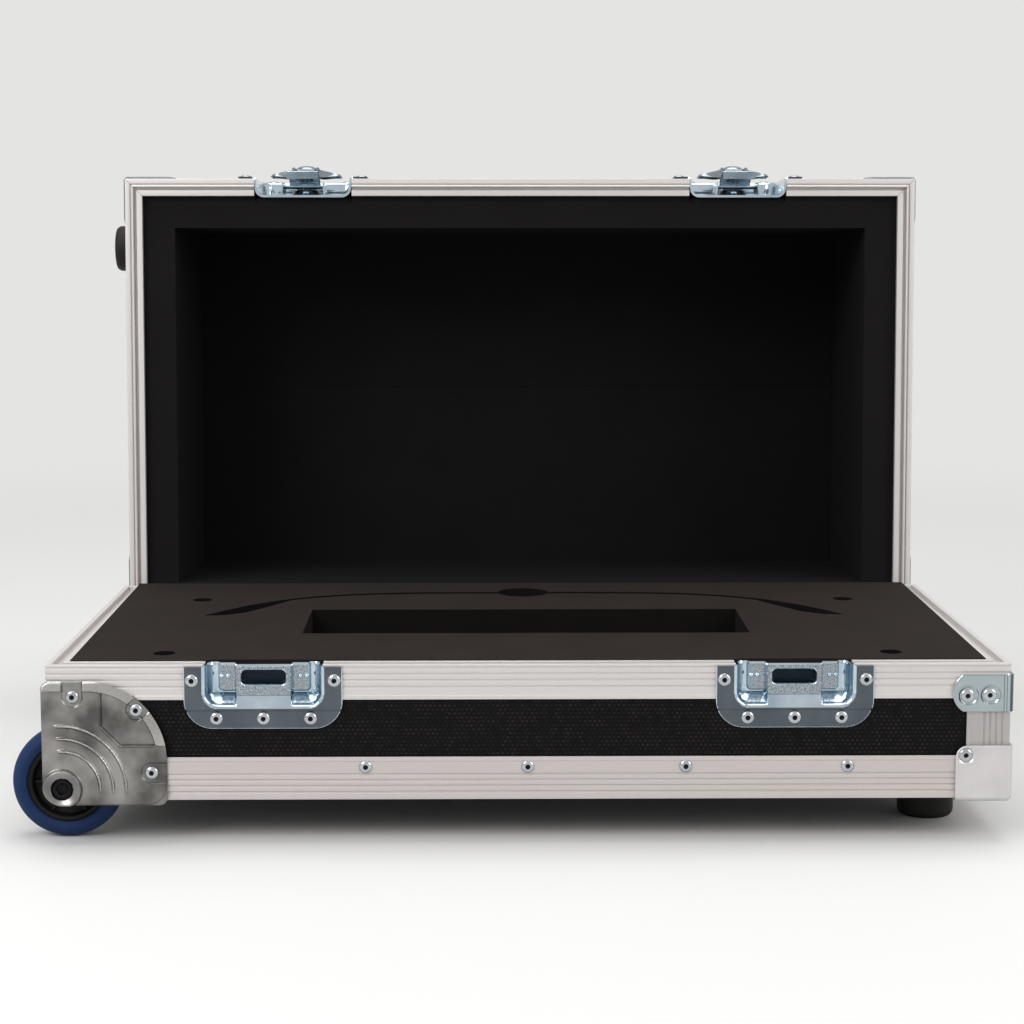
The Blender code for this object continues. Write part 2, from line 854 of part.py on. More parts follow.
def castor_outline(low_x, low_z):
    """Front plate seen from the front: big arc at top right, round the axle at bottom left."""
    high_x = low_x + castor_width
    high_z = low_z + castor_height
    big = castor_big_radius
    small = castor_small_radius
    corner = castor_axle_radius
    return (
        [(low_x, high_z - small)]
        + arc(low_x + corner, low_z + corner, corner, 180, 270, 6)
        + arc(high_x - small, low_z + small, small, -90, 0, 4)
        + arc(high_x - big, high_z - big, big, 0, 90, 12)
        + arc(low_x + small, high_z - small, small, 90, 135, 2)
    )


def mirror_rear(shape, side):
    """Mirror a shape built for the front into the rear half of the case."""
    if side == rear:
        shape.transform(Matrix.Translation((0, case_depth, 0)) @ Matrix.Scale(-1, 4, (0, 1, 0)))
        bmesh.ops.reverse_faces(shape, faces=shape.faces)
    return shape


def build_castor(side_name, side):
    name = f"castor_housing_{side_name}"
    inner_x = -half_width - seat_gap
    inner_z = base_z - seat_gap
    low_x = inner_x - castor_plate
    low_z = inner_z - castor_plate
    high_x = low_x + castor_width
    high_z = low_z + castor_height
    outer_y = -seat_gap - castor_plate
    inner_y = -seat_gap
    axle = (axle_x, 0, axle_z)

    def helper(label, shape):
        return tool(f"{name}_{label}", mirror_rear(shape, side), case)

    front_plate = mirror_rear(prism(castor_outline(low_x, low_z), "Y", outer_y, inner_y), side)
    housing = piece(name, front_plate, case, CAST_ZINC, smooth=True)
    inner_radius = castor_big_radius - castor_band
    inner_low_x = high_x - sector_width
    inner_low_z = high_z - sector_height
    sector = (
        [(inner_low_x, inner_low_z + sector_cut), (inner_low_x + sector_cut, inner_low_z)]
        + arc(high_x - castor_big_radius, high_z - castor_big_radius, inner_radius, 8, 82, 10)
    )
    press = helper("sector", prism(sector, "Y", outer_y - overrun, outer_y + castor_press))
    ribs = []
    for number in range(rib_count):
        middle = rib_radius - number * rib_pitch
        outline = arc(axle_x, axle_z, middle + rib_width / 2, -5, 96, 14)
        outline += arc(axle_x, axle_z, middle - rib_width / 2, 96, -5, 14)
        ribs.append(helper(f"rib_{number}", prism(outline, "Y", outer_y - overrun, outer_y + castor_press)))
    plate_top = high_z - castor_small_radius
    side_plate = block((low_x, inner_y - overrun / 4, low_z), (inner_x, castor_depth, plate_top))
    low_end = high_x - castor_small_radius
    bottom_plate = block((low_x, inner_y - overrun / 4, low_z), (low_end, castor_depth, inner_z))
    shell = block((low_x, well_front - well_wall, low_z), (low_end, well_back + well_wall, plate_top))
    well = rod(well_radius + well_wall, axle, "Y", well_front - well_wall, well_back + well_wall, 40)
    room = rod(well_radius, axle, "Y", well_front, well_back, 40)
    relief = block((low_x - overrun, 0, low_z - overrun), (axle_x, castor_depth + overrun, axle_z))
    boss = rod(boss_radius, axle, "Y", outer_y - boss_height, outer_y + overrun / 4, 28)
    hole = rod(axle_radius + seat_gap, axle, "Y", -case_depth / 4, case_depth / 4, 20)
    well_tool = helper("well", well)
    combine(well_tool, "INTERSECT", helper("well_limits", shell))
    cut(housing, press, *ribs)
    join(housing, helper("side", side_plate), helper("bottom", bottom_plate), helper("boss", boss))
    cut(housing, helper("relief", relief))
    join(housing, well_tool)
    cut(housing, helper("room", room), helper("hole", hole))

    bolt = [
        (bolt_head_radius - seat_gap, outer_y - boss_height - seat_gap - bolt_head_height),
        (bolt_head_radius, outer_y - boss_height - seat_gap - bolt_head_height / 2),
        (bolt_head_radius, outer_y - boss_height - seat_gap),
        (axle_radius, outer_y - boss_height - seat_gap),
        (axle_radius, well_back + well_wall + bolt_head_height),
    ]
    bolt_shape = mirror_rear(solid_of_revolution(bolt, axle, "Y", 24), side)
    piece(f"wheel_axle_{side_name}", bolt_shape, case, BLACK_STEEL, smooth=True)

    near = wheel_inset
    far = wheel_inset + wheel_width
    hub_edge = wheel_radius - tyre_depth
    wheel_y = (near + far) / 2
    mirrored_y = case_depth - wheel_y if side == rear else wheel_y
    centre = (axle_x, mirrored_y, axle_z)
    bevel = tyre_round / 2
    tyre = [
        (hub_edge, near + bevel),
        (wheel_radius - tyre_round, near),
        (wheel_radius - bevel / 2, near + bevel),
        (wheel_radius, near + tyre_round),
        (wheel_radius, far - tyre_round),
        (wheel_radius - bevel / 2, far - bevel),
        (wheel_radius - tyre_round, far),
        (hub_edge, far - bevel),
    ]
    tyre_shape = mirror_rear(ring_of_revolution(tyre, axle, "Y", 48), side)
    piece(f"wheel_tyre_{side_name}", tyre_shape, case, BLUE_RUBBER, origin=centre, smooth=True)
    hub_outer = hub_edge - seat_gap
    lip = hub_outer - bevel
    web_near = wheel_y - web_thickness / 2
    web_far = wheel_y + web_thickness / 2
    bore = axle_radius + seat_gap
    hub = [
        (bore, well_front + seat_gap),
        (hub_radius, well_front + seat_gap),
        (hub_radius, web_near),
        (lip, web_near),
        (lip, near + bevel),
        (hub_outer, near + bevel),
        (hub_outer, far - bevel),
        (lip, far - bevel),
        (lip, web_far),
        (hub_radius, web_far),
        (hub_radius, well_back - seat_gap),
        (bore, well_back - seat_gap),
    ]
    hub_shape = mirror_rear(ring_of_revolution(hub, axle, "Y", 32), side)
    piece(f"wheel_hub_{side_name}", hub_shape, case, BLACK_PLASTIC, origin=centre, smooth=True)

    grown = well_wall + seat_gap
    clearance = rod(well_radius + grown, axle, "Y", well_front - grown, well_back + grown, 40)
    bolt_room = rod(axle_radius + seat_gap, axle, "Y", -overrun, well_back + edge_leg, 20)
    return helper("clearance", clearance), helper("bolt_room", bolt_room)


castor_rooms = []
for side_name, side in (("front", front), ("rear", rear)):
    clearance, bolt_room = build_castor(side_name, side)
    castor_rooms += [clearance, bolt_room]
    cut(base_walls[side_name], clearance, bolt_room)
    cut(base_edge, clearance, bolt_room)
    cut(base_walls["left"], clearance, bolt_room)
    cut(base_floor, clearance, bolt_room)


# Corner caps and braces: pressed steel over the extrusion joints

def cap_shape(side_x, side_y, corner_z, upward):
    """Three plates round a corner, free corners rounded."""
    x, y, inset_x, inset_y = corners[side_x, side_y]
    outer = seat_gap + cap_thickness
    end = cap_leg - outer
    soft = cap_thickness / 2
    face = [(-outer, -outer + soft), (-outer + soft, -outer)]
    face += [(end, -outer)] + arc(end - cap_round, end - cap_round, cap_round, 0, 90, 5) + [(-outer, end)]

    def plate(placing, start):
        points = [[placing(a, b, level) for a, b in face] for level in (start, -seat_gap)]
        return loft([[(x + inset_x * u, y + inset_y * v, corner_z + upward * w) for u, v, w in loop]
                     for loop in points])

    return (
        plate(lambda a, b, level: (a, level, b), -outer),
        plate(lambda a, b, level: (level, a, b), -outer),
        plate(lambda a, b, level: (a, b, level), -outer),
    )


def build_cap(name, holder, side_x, side_y, corner_z, upward):
    first, second, third = cap_shape(side_x, side_y, corner_z, upward)
    cap = piece(name, first, holder, SATIN_STEEL, smooth=True)
    join(cap, tool(f"{name}_side", second, holder), tool(f"{name}_flat", third, holder))
    return cap


def build_brace(name, holder, side_x, side_y, start_z, upward):
    """Angle bracket round an upright corner, ends clipped."""
    x, y, inset_x, inset_y = corners[side_x, side_y]
    outer = seat_gap + brace_thickness
    end = brace_leg - outer
    clip = brace_chamfer
    face = [
        (-outer, 0),
        (end - clip, 0),
        (end, clip),
        (end, brace_height - clip),
        (end - clip, brace_height),
        (-outer, brace_height),
    ]

    def plate(placing):
        loops = [[placing(a, b, level) for a, b in face] for level in (-outer, -seat_gap)]
        return loft([[(x + inset_x * u, y + inset_y * v, start_z + upward * w) for u, v, w in loop]
                     for loop in loops])

    brace = piece(name, plate(lambda a, b, level: (a, level, b)), holder, ZINC)
    join(brace, tool(f"{name}_side", plate(lambda a, b, level: (level, a, b)), holder))
    return brace


end_names = {front: "front", rear: "rear"}
hand_names = {left: "left", right: "right"}
for side_y in (front, rear):
    build_cap(f"base_corner_cap_{end_names[side_y]}", case, right, side_y, base_z, 1)
    build_brace(
        f"base_corner_brace_{end_names[side_y]}", case, right, side_y, joint_z - brace_joint_gap, -1
    )
for side_x, side_y in corners:
    label = f"{end_names[side_y]}_{hand_names[side_x]}"
    build_cap(f"lid_corner_cap_{label}", lid, side_x, side_y, lid_top_z, -1)
    build_brace(f"lid_corner_brace_{label}", lid, side_x, side_y, lid_z + brace_joint_gap, 1)


# Feet: rubber buffers with a sunk screw hole

def foot_profile(root, tip):
    """From the root to the tip, with the screw's counterbore in the tip."""
    way = 1 if tip > root else -1
    soft = foot_taper
    return [
        (foot_radius, root),
        (foot_radius - foot_taper / 2, tip - way * soft),
        (foot_radius - foot_taper - soft / 2, tip),
        (foot_bore_radius, tip),
        (foot_bore_radius, tip - way * foot_bore_depth),
    ]


for side_name, foot_y in (("front", foot_inset_front), ("rear", case_depth - foot_inset_rear)):
    centre = (half_width - foot_inset_x, foot_y, 0)
    foot = solid_of_revolution(foot_profile(base_z - seat_gap, 0), centre, "Z", 32)
    piece(f"base_foot_{side_name}", foot, case, BLACK_RUBBER, smooth=True)

side_foot_z = lid_top_z - edge_leg - foot_radius - side_foot_top_gap
side_foot_root = wall_inset - half_width - seat_gap
side_foot_tip = axle_x - wheel_radius
side_foot = solid_of_revolution(
    foot_profile(side_foot_root, side_foot_tip), (0, side_foot_inset_front, side_foot_z), "X", 32
)
piece("lid_side_foot", side_foot, lid, BLACK_RUBBER, smooth=True)


# Foam: cut-out block in the base, linings and thin sheets in the lid

def slot_outline(side):
    """Narrow slot from the disc outwards that bends forward and swells into a blade."""
    middle_y = case_depth - disc_rear
    steps = 16
    upper = []
    lower = []
    for step in range(steps + 1):
        x = slot_reach * step / steps
        y = middle_y - slot_fall * (x / slot_reach) ** slot_bend
        blade = max(0.0, (x - blade_start) / (slot_reach - blade_start))
        width = slot_width * (1 - blade) + blade_swell * math.sin(math.pi * blade)
        upper.append((side * x, y + slot_width / 2 * (1 - blade)))
        lower.append((side * x, y - slot_width / 2 * (1 - blade) - width))
    return upper[:-1] + [(side * slot_reach, middle_y - slot_fall)] + lower[-2::-1]


foam_end_x = half_width - rim_width - seat_gap
foam_end_y = rim_width + seat_gap
foam_block = piece(
    "base_foam_block",
    block((-foam_end_x, foam_end_y, floor_top + seat_gap), (foam_end_x, case_depth - foam_end_y, foam_top)),
    case, GREY_FOAM,
)


def foam_cutter(name, outline, hollow):
    return tool(name, prism(outline, "Z", foam_top - hollow, foam_top + overrun), case)


pocket_half = case_width * pocket_width_share / 2
pocket_back = pocket_front + pocket_depth
pocket = [
    (-pocket_half, pocket_front), (pocket_half, pocket_front), (pocket_half, pocket_back),
    (-pocket_half, pocket_back),
]
cut(foam_block, foam_cutter("foam_pocket", pocket, pocket_hollow))
for side in (left, right):
    cut(foam_block, foam_cutter(f"foam_slot_{side}", slot_outline(side), slot_hollow))
disc_y = case_depth - disc_rear
cut(foam_block, foam_cutter("foam_disc", arc(0, disc_y, disc_radius, 0, 345, 23), disc_hollow))
for side in (left, right):
    for label, dimple_y in (("front", dimple_front), ("rear", case_depth - dimple_rear)):
        centre_x = side * case_width * dimple_spacing_share / 2
        outline = arc(centre_x, dimple_y, dimple_radius, 0, 337.5, 15)
        cut(foam_block, foam_cutter(f"foam_dimple_{label}_{side}", outline, dimple_hollow))
cut(foam_block, *keeper_rooms, *castor_rooms)

channel_clear = wall_inner + seat_gap + leg + seat_gap
lining_low = lid_z + rim_cap + seat_gap
lining_high = lid_roof - seat_gap
lining_inner = rim_width + lining_depth
lining_section = [
    (channel_clear, lining_low),
    (lining_inner, lining_low),
    (lining_inner, lining_high),
    (channel_clear, lining_high),
]
rear_flap_outer = case_depth - channel_clear
rear_flap_inner = rear_flap_outer - sheet_foam
lining_end = rear_flap_inner - seat_gap
lining_run = [
    (-half_width, lining_end, 1, 0),
    corners[left, front],
    corners[right, front],
    (half_width, lining_end, -1, 0),
]
lid_lining = piece("lid_foam_lining", sweep(lining_section, lining_run, 0, 1), lid, BLACK_FOAM)
for side_name, middle in (("left", -latch_x), ("right", latch_x)):
    relief = dish_cutter(
        f"lining_relief_{side_name}", lid, middle, 0, 1, lid_z, lid_z + latch_dish_height,
        dish_depth + lining_relief,
    )
    cut(lid_lining, relief)

sheet_end_x = half_width - lining_inner - seat_gap
sheet_low = lining_high - sheet_foam
sheet_seam = case_depth / 2
piece(
    "lid_foam_sheet_front",
    block(
        (-sheet_end_x, lining_inner + seat_gap, sheet_low),
        (sheet_end_x, sheet_seam - seat_gap / 2, lining_high),
    ),
    lid, BLACK_FOAM,
)
flap_half = half_width - channel_clear
rear_sheet = piece(
    "lid_foam_sheet_rear",
    block(
        (-sheet_end_x, sheet_seam + seat_gap / 2, sheet_low),
        (sheet_end_x, rear_flap_inner + sheet_foam / 2, lining_high),
    ),
    lid, BLACK_FOAM,
)
rear_flap = block(
    (-flap_half, rear_flap_inner, lining_low), (flap_half, rear_flap_outer, lining_high - post_relief)
)
join(rear_sheet, tool("rear_flap", rear_flap, lid))


# Turn the lid open and stand the whole case over the middle of its own outline

lid.empty.rotation_euler.x = -open_angle
bpy.context.view_layer.update()


def outline_of_model():
    graph = bpy.context.evaluated_depsgraph_get()
    low = Vector((math.inf,) * 3)
    high = Vector((-math.inf,) * 3)
    for obj in bpy.context.scene.objects:
        if obj.type != "MESH" or obj.hide_render:
            continue
        mesh = obj.evaluated_get(graph).to_mesh()
        for vertex in mesh.vertices:
            point = obj.matrix_world @ vertex.co
            low = Vector(map(min, low, point))
            high = Vector(map(max, high, point))
    return low, high


low, high = outline_of_model()
case.empty.location = (-(low.x + high.x) / 2, -(low.y + high.y) / 2, -low.z)
bpy.context.view_layer.update()
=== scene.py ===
import json
import math

import bmesh
import bpy
from mathutils import Matrix, Vector


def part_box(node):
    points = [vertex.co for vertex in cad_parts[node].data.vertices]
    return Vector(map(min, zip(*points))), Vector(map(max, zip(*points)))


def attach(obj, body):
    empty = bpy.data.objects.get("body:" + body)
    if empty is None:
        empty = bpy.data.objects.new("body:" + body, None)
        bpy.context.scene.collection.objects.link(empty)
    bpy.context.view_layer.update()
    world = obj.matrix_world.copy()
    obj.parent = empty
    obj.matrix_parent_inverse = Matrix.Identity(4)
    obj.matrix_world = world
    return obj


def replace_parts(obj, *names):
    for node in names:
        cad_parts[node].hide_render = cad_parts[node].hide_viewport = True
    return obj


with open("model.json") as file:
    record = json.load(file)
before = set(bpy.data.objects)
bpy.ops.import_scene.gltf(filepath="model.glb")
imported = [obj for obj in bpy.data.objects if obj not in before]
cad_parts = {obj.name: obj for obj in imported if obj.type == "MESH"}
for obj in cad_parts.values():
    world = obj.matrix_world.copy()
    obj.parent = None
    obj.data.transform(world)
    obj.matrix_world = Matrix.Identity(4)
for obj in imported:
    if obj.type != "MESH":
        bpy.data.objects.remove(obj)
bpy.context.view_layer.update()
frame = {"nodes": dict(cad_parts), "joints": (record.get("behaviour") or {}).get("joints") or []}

# The case's own places. Pieces are drawn in case coordinates with the lid closed: x from the
# middle of the case, y from its front face, z from the floor. Two matrices take them to the
# base, and to the lid as it stands open.
rim_low, rim_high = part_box("base_rim_extrusion")
case_half = (rim_high.x - rim_low.x) / 2
case_depth = rim_high.y - rim_low.y
joint_z = rim_high.z
base_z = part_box("base_edge_extrusion")[0].z
in_base = Matrix.Translation(((rim_low.x + rim_high.x) / 2, rim_low.y, 0))
hinge = next(joint for joint in frame["joints"] if joint["name"] == "lid_hinge")
hinge_place = in_base.inverted() @ Vector(hinge["pos_m"])
opened = math.radians(hinge["range_deg"][1])
swing = Matrix.Translation(hinge_place) @ Matrix.Rotation(-opened, 4, "X") @ Matrix.Translation(-hinge_place)
in_lid = in_base @ swing
lid_gap = 0.0006
lid_z = joint_z + lid_gap
lid_height = 0.200
lid_top_z = lid_z + lid_height
front, rear, left, right = "front", "rear", "left", "right"


# Camera, floor and light: a photographer's table. The camera stands 1.6 m in front of the
# case, a little to its left and above it, with a long lens.
camera_place = (-0.0310, -1.5869, 0.4292)
camera_pitch = 6.962
camera_yaw = 0.679
focal_length = 80.94
camera_data = bpy.data.cameras.new("camera")
camera_data.lens = focal_length
camera_data.sensor_width = 36
camera = bpy.data.objects.new("camera", camera_data)
bpy.context.scene.collection.objects.link(camera)
camera.location = in_base @ Vector(camera_place)
camera.rotation_euler = (math.radians(90 - camera_pitch), 0, math.radians(-camera_yaw))
bpy.context.scene.camera = camera
bpy.context.scene.view_settings.view_transform = "Standard"


def linear(hex_colour):
    """An sRGB hex colour as the linear red, green, blue and alpha that a shader takes."""
    parts = [int(hex_colour[place:place + 2], 16) / 255 for place in (0, 2, 4)]
    return [part / 12.92 if part <= 0.04045 else ((part + 0.055) / 1.055) ** 2.4 for part in parts] + [1]


def add_node(tree, kind, inputs=None, **settings):
    """Add a shader node, set its properties, and set or link its inputs."""
    node = tree.nodes.new(kind)
    for name, value in settings.items():
        setattr(node, name, value)
    for name, value in (inputs or {}).items():
        if isinstance(value, bpy.types.NodeSocket):
            tree.links.new(value, node.inputs[name])
        else:
            node.inputs[name].default_value = value
    return node


def new_material(name, values):
    """A material with a Principled shader whose constant values are set on its own sockets."""
    material = bpy.data.materials.new(name)
    material.use_nodes = True
    tree = material.node_tree
    shader = tree.nodes["Principled BSDF"]
    for key, value in values.items():
        shader.inputs[key].default_value = value
    return material, tree, shader


def math_node(tree, operation, *values):
    """The result of a sum on numbers or on other nodes' results."""
    return add_node(tree, "ShaderNodeMath", dict(enumerate(values)), operation=operation).outputs[0]

def spread(tree, value, low, high, start=0.0, end=1.0):
    """A value moved from the range low to high into the range start to end."""
    return add_node(tree, "ShaderNodeMapRange", {0: value, 1: low, 2: high, 3: start, 4: end}).outputs[0]

def looking_rays(tree):
    """1 for the rays that see the pale backdrop: the camera's and the mirrored ones."""
    rays = add_node(tree, "ShaderNodeLightPath").outputs
    mirrored = math_node(tree, "MAXIMUM", rays["Is Glossy Ray"], rays["Is Transmission Ray"])
    return math_node(tree, "MAXIMUM", rays["Is Camera Ray"], mirrored)

backdrop_colour = "E4E4E3"
world = bpy.data.worlds.new("studio")
bpy.context.scene.world = world
world.use_nodes = True
tree = world.node_tree
tree.nodes.clear()
place = add_node(tree, "ShaderNodeTexCoord")
split = add_node(tree, "ShaderNodeSeparateXYZ", {0: place.outputs["Generated"]})
lightest = math_node(
    tree, "MAXIMUM", spread(tree, split.outputs["Y"], -0.9, 0.5), spread(tree, split.outputs["Z"], 0.0, 0.7)
)
room = add_node(
    tree, "ShaderNodeBackground", {"Color": spread(tree, lightest, 0.0, 1.0, 0.16, 0.80), "Strength": 1.0}
)
backdrop = add_node(tree, "ShaderNodeBackground", {"Color": linear(backdrop_colour), "Strength": 1.0})
mixed = add_node(
    tree, "ShaderNodeMixShader", {0: looking_rays(tree), 1: room.outputs[0], 2: backdrop.outputs[0]}
)
add_node(tree, "ShaderNodeOutputWorld", {0: mixed.outputs[0]})

floor_radius = 30.0
floor_fade_start = 0.7
floor_fade_end = 2.6
shape = bmesh.new()
bmesh.ops.create_circle(shape, cap_ends=True, segments=64, radius=floor_radius)
mesh = bpy.data.meshes.new("studio_floor")
shape.to_mesh(mesh)
shape.free()
floor = bpy.data.objects.new("studio_floor", mesh)
bpy.context.scene.collection.objects.link(floor)
floor.location.z = -0.0002
floor_paint, tree, shader = new_material(
    "studio_floor_paint", {"Base Color": linear("D6D6D5"), "Roughness": 0.7}
)
spot = add_node(tree, "ShaderNodeNewGeometry")
far = add_node(tree, "ShaderNodeVectorMath", {0: spot.outputs["Position"]}, operation="LENGTH")
fade = add_node(
    tree, "ShaderNodeMapRange", {0: far.outputs["Value"], 1: floor_fade_start, 2: floor_fade_end},
    interpolation_type="SMOOTHSTEP",
)
seen = math_node(tree, "MULTIPLY", fade.outputs[0], looking_rays(tree))
glow = add_node(tree, "ShaderNodeEmission", {"Color": linear(backdrop_colour)})
blend = add_node(tree, "ShaderNodeMixShader", {0: seen, 1: shader.outputs[0], 2: glow.outputs[0]})
tree.links.new(blend.outputs[0], tree.nodes["Material Output"].inputs["Surface"])
mesh.materials.append(floor_paint)


def soft_box(name, place, aim, width, height, power):
    """A rectangular studio lamp turned towards a point of the case."""
    data = bpy.data.lights.new(name, "AREA")
    data.shape = "RECTANGLE"
    data.size = width
    data.size_y = height
    data.energy = power
    lamp = bpy.data.objects.new(name, data)
    bpy.context.scene.collection.objects.link(lamp)
    lamp.location = place
    lamp.rotation_euler = (Vector(aim) - Vector(place)).to_track_quat("-Z", "Y").to_euler()


case_middle = (0, 0, 0.2)
soft_box("key_lamp", (-1.5, -1.9, 1.7), case_middle, 1.3, 1.3, 34)
soft_box("fill_lamp", (1.9, -1.5, 1.2), case_middle, 1.1, 1.4, 16)
soft_box("top_lamp", (0, 0.1, 2.3), case_middle, 2.0, 1.4, 26)


# Panels: thin plywood faced with black phenolic laminate, hot pressed with a fine hexagon
# print. The print shows as rows of small raised dots, and the little light that they catch is
# painted into their colour as a painted highlight, stronger or weaker by a noise.
dot_pitch = 0.0034
row_pitch = 0.00285
dot_height = 0.00012


def dot_rows(tree, along, across):
    """Raised dots in staggered rows, as a height from 0 to 1."""
    rows = math_node(tree, "DIVIDE", across, row_pitch)
    shift = math_node(tree, "MULTIPLY", math_node(tree, "FLOOR", rows), 0.5)
    moved = math_node(tree, "ADD", math_node(tree, "DIVIDE", along, dot_pitch), shift)
    in_row = {0: math_node(tree, "WRAP", moved, 1.0, 0.0), 1: math_node(tree, "WRAP", rows, 1.0, 0.0)}
    spot = add_node(tree, "ShaderNodeCombineXYZ", in_row)
    reach = add_node(
        tree, "ShaderNodeVectorMath", {0: spot.outputs[0], 1: (0.5, 0.5, 0)}, operation="DISTANCE"
    )
    return add_node(
        tree, "ShaderNodeMapRange", {0: reach.outputs["Value"], 1: 0.42, 2: 0.18},
        interpolation_type="SMOOTHSTEP",
    ).outputs[0]


def noise(tree, scale, detail=2.0, place=None):
    """A noise field's value, read at places in metres unless others are given."""
    if place is None:
        place = add_node(tree, "ShaderNodeNewGeometry").outputs["Position"]
    field = add_node(tree, "ShaderNodeTexNoise", {"Vector": place, "Scale": scale, "Detail": detail})
    return field.outputs[0]

def paint(tree, shader, share, dark, light):
    """Colour a material between two tones by a share."""
    tone = add_node(tree, "ShaderNodeMix", {0: share, 6: linear(dark), 7: linear(light)}, data_type="RGBA")
    tree.links.new(tone.outputs[2], shader.inputs["Base Color"])

def emboss(tree, shader, height, distance, strength):
    """Raise a material's surface by a field times a distance in metres."""
    bump = add_node(tree, "ShaderNodeBump", {"Height": height, "Distance": distance, "Strength": strength})
    tree.links.new(bump.outputs[0], shader.inputs["Normal"])

laminate, tree, shader = new_material("phenolic_laminate", {"Roughness": 0.6, "Specular IOR Level": 0.09})
spot = add_node(tree, "ShaderNodeNewGeometry")
split = add_node(tree, "ShaderNodeSeparateXYZ", {0: spot.outputs["Position"]})
sides = add_node(tree, "ShaderNodeSeparateXYZ", {0: spot.outputs["True Normal"]})
facing_x = math_node(tree, "GREATER_THAN", math_node(tree, "ABSOLUTE", sides.outputs["X"]), 0.6)
facing_z = math_node(tree, "GREATER_THAN", math_node(tree, "ABSOLUTE", sides.outputs["Z"]), 0.6)
along = add_node(tree, "ShaderNodeMix", {0: facing_x, 2: split.outputs["X"], 3: split.outputs["Y"]})
across = add_node(tree, "ShaderNodeMix", {0: facing_z, 2: split.outputs["Z"], 3: split.outputs["Y"]})
dots = dot_rows(tree, along.outputs[0], across.outputs[0])
# The dots are painted lighter than the laminate: a painted highlight, varied by a noise.
dot_highlight_noise = spread(tree, noise(tree, 190.0, 3.0), 0.38, 0.66, 0.15, 1.0)
paint(tree, shader, math_node(tree, "MULTIPLY", dots, dot_highlight_noise), "080707", "252120")
emboss(tree, shader, dots, dot_height, 0.5)

for name, node in frame["nodes"].items():
    if name.endswith("_panel"):
        node.data.materials.clear()
        node.data.materials.append(laminate)


# Extrusions: natural anodised aluminium, drawn through a die that leaves fine lines along
# the run. The base's rim has a groove at its mouth, and the lid's a tongue that fits it.
def vary_gloss(tree, shader, field, smooth, rough):
    """Let a noise field vary a material's roughness."""
    tree.links.new(spread(tree, field, 0.3, 0.7, smooth, rough), shader.inputs["Roughness"])

def anodised_skin(name, dark, light):
    """Anodised aluminium whose die lines follow the run."""
    material, tree, shader = new_material(name, {"Metallic": 0.4, "Roughness": 0.42})
    run = add_node(tree, "ShaderNodeUVMap", uv_map="run")
    lines = add_node(tree, "ShaderNodeMapping", {"Vector": run.outputs[0], "Scale": (3.0, 2600.0, 1.0)})
    cloud = add_node(tree, "ShaderNodeMapping", {"Vector": run.outputs[0], "Scale": (14.0, 90.0, 1.0)})
    grain = noise(tree, 1.0, 3.0, lines.outputs[0])
    paint(tree, shader, grain, dark, light)
    vary_gloss(tree, shader, noise(tree, 1.0, 4.0, cloud.outputs[0]), 0.38, 0.48)
    emboss(tree, shader, grain, 0.00003, 0.25)
    return material

# The rims take the palest copy. The edge angles, a little darker, and the upright posts, darkest, are shaded
# copies of the same anodising: painted shade.
anodised = anodised_skin("anodised_aluminium", "C4BFBD", "D2CECC")
anodised_shaded_edge = anodised_skin("anodised_aluminium_edges_painted_shade", "B9B1AF", "C9C2C0")
anodised_shaded_post = anodised_skin("anodised_aluminium_posts_painted_shade", "A29D9C", "B2AEAD")

leg = 0.0015
mitre_gap = 0.00015


def add_piece(name, shape, space, body, material, sharp=math.radians(35), more=()):
    """Make an object of a shape drawn in case coordinates and let it ride on a body."""
    shape.transform(space)
    bmesh.ops.recalc_face_normals(shape, faces=shape.faces)
    mesh = bpy.data.meshes.new(name)
    shape.to_mesh(mesh)
    shape.free()
    mesh.materials.append(material)
    for other in more:
        mesh.materials.append(other)
    mesh.shade_smooth()
    mesh.set_sharp_from_angle(angle=sharp)
    piece = bpy.data.objects.new(name, mesh)
    bpy.context.scene.collection.objects.link(piece)
    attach(piece, body)
    return piece


def round_corners(points, radius, steps=3):
    """Round every corner of a closed outline, by less where its sides are short."""
    result = []
    for index, corner in enumerate(points):
        corner = Vector(corner)
        before = Vector(points[index - 1]) - corner
        after = Vector(points[(index + 1) % len(points)]) - corner
        reach = min(radius, before.length * 0.45, after.length * 0.45)
        start = corner + before.normalized() * reach
        end = corner + after.normalized() * reach
        for step in range(steps + 1):
            share = step / steps
            result.append((1 - share) ** 2 * start + 2 * share * (1 - share) * corner + share ** 2 * end)
    return result


def extrude_run(shape, section, start, end, level, upward):
    """Sweep a section of (inset, height) points between two mitred stations."""
    uv = shape.loops.layers.uv.verify()
    direction = Vector((end[0] - start[0], end[1] - start[1], 0)).normalized()
    rings = []
    for station, pull in ((start, mitre_gap), (end, -mitre_gap)):
        x, y, inset_x, inset_y = station
        rings.append([
            shape.verts.new(Vector((x + inset_x * u, y + inset_y * u, level + upward * v)) + direction * pull)
            for u, v in section
        ])
    travel = 0
    count = len(section)
    for index in range(count):
        after = (index + 1) % count
        span = (Vector(section[after]) - Vector(section[index])).length
        face = shape.faces.new((rings[0][index], rings[0][after], rings[1][after], rings[1][index]))
        marks = (travel, travel + span, travel + span, travel)
        for loop, mark in zip(face.loops, marks):
            loop[uv].uv = (loop.vert.co.dot(direction), mark)
        travel += span
    for ring in rings:
        face = shape.faces.new(ring)
        for loop in face.loops:
            loop[uv].uv = (loop.vert.co.z, loop.vert.co.x + loop.vert.co.y)


def groove(middle, width=0.0015, deep=0.0007):
    """A rounded die line across a face, as (inset, height) points."""
    return [(0, middle - width / 2), (deep, middle - width / 5), (deep, middle + width / 5),
            (0, middle + width / 2)]


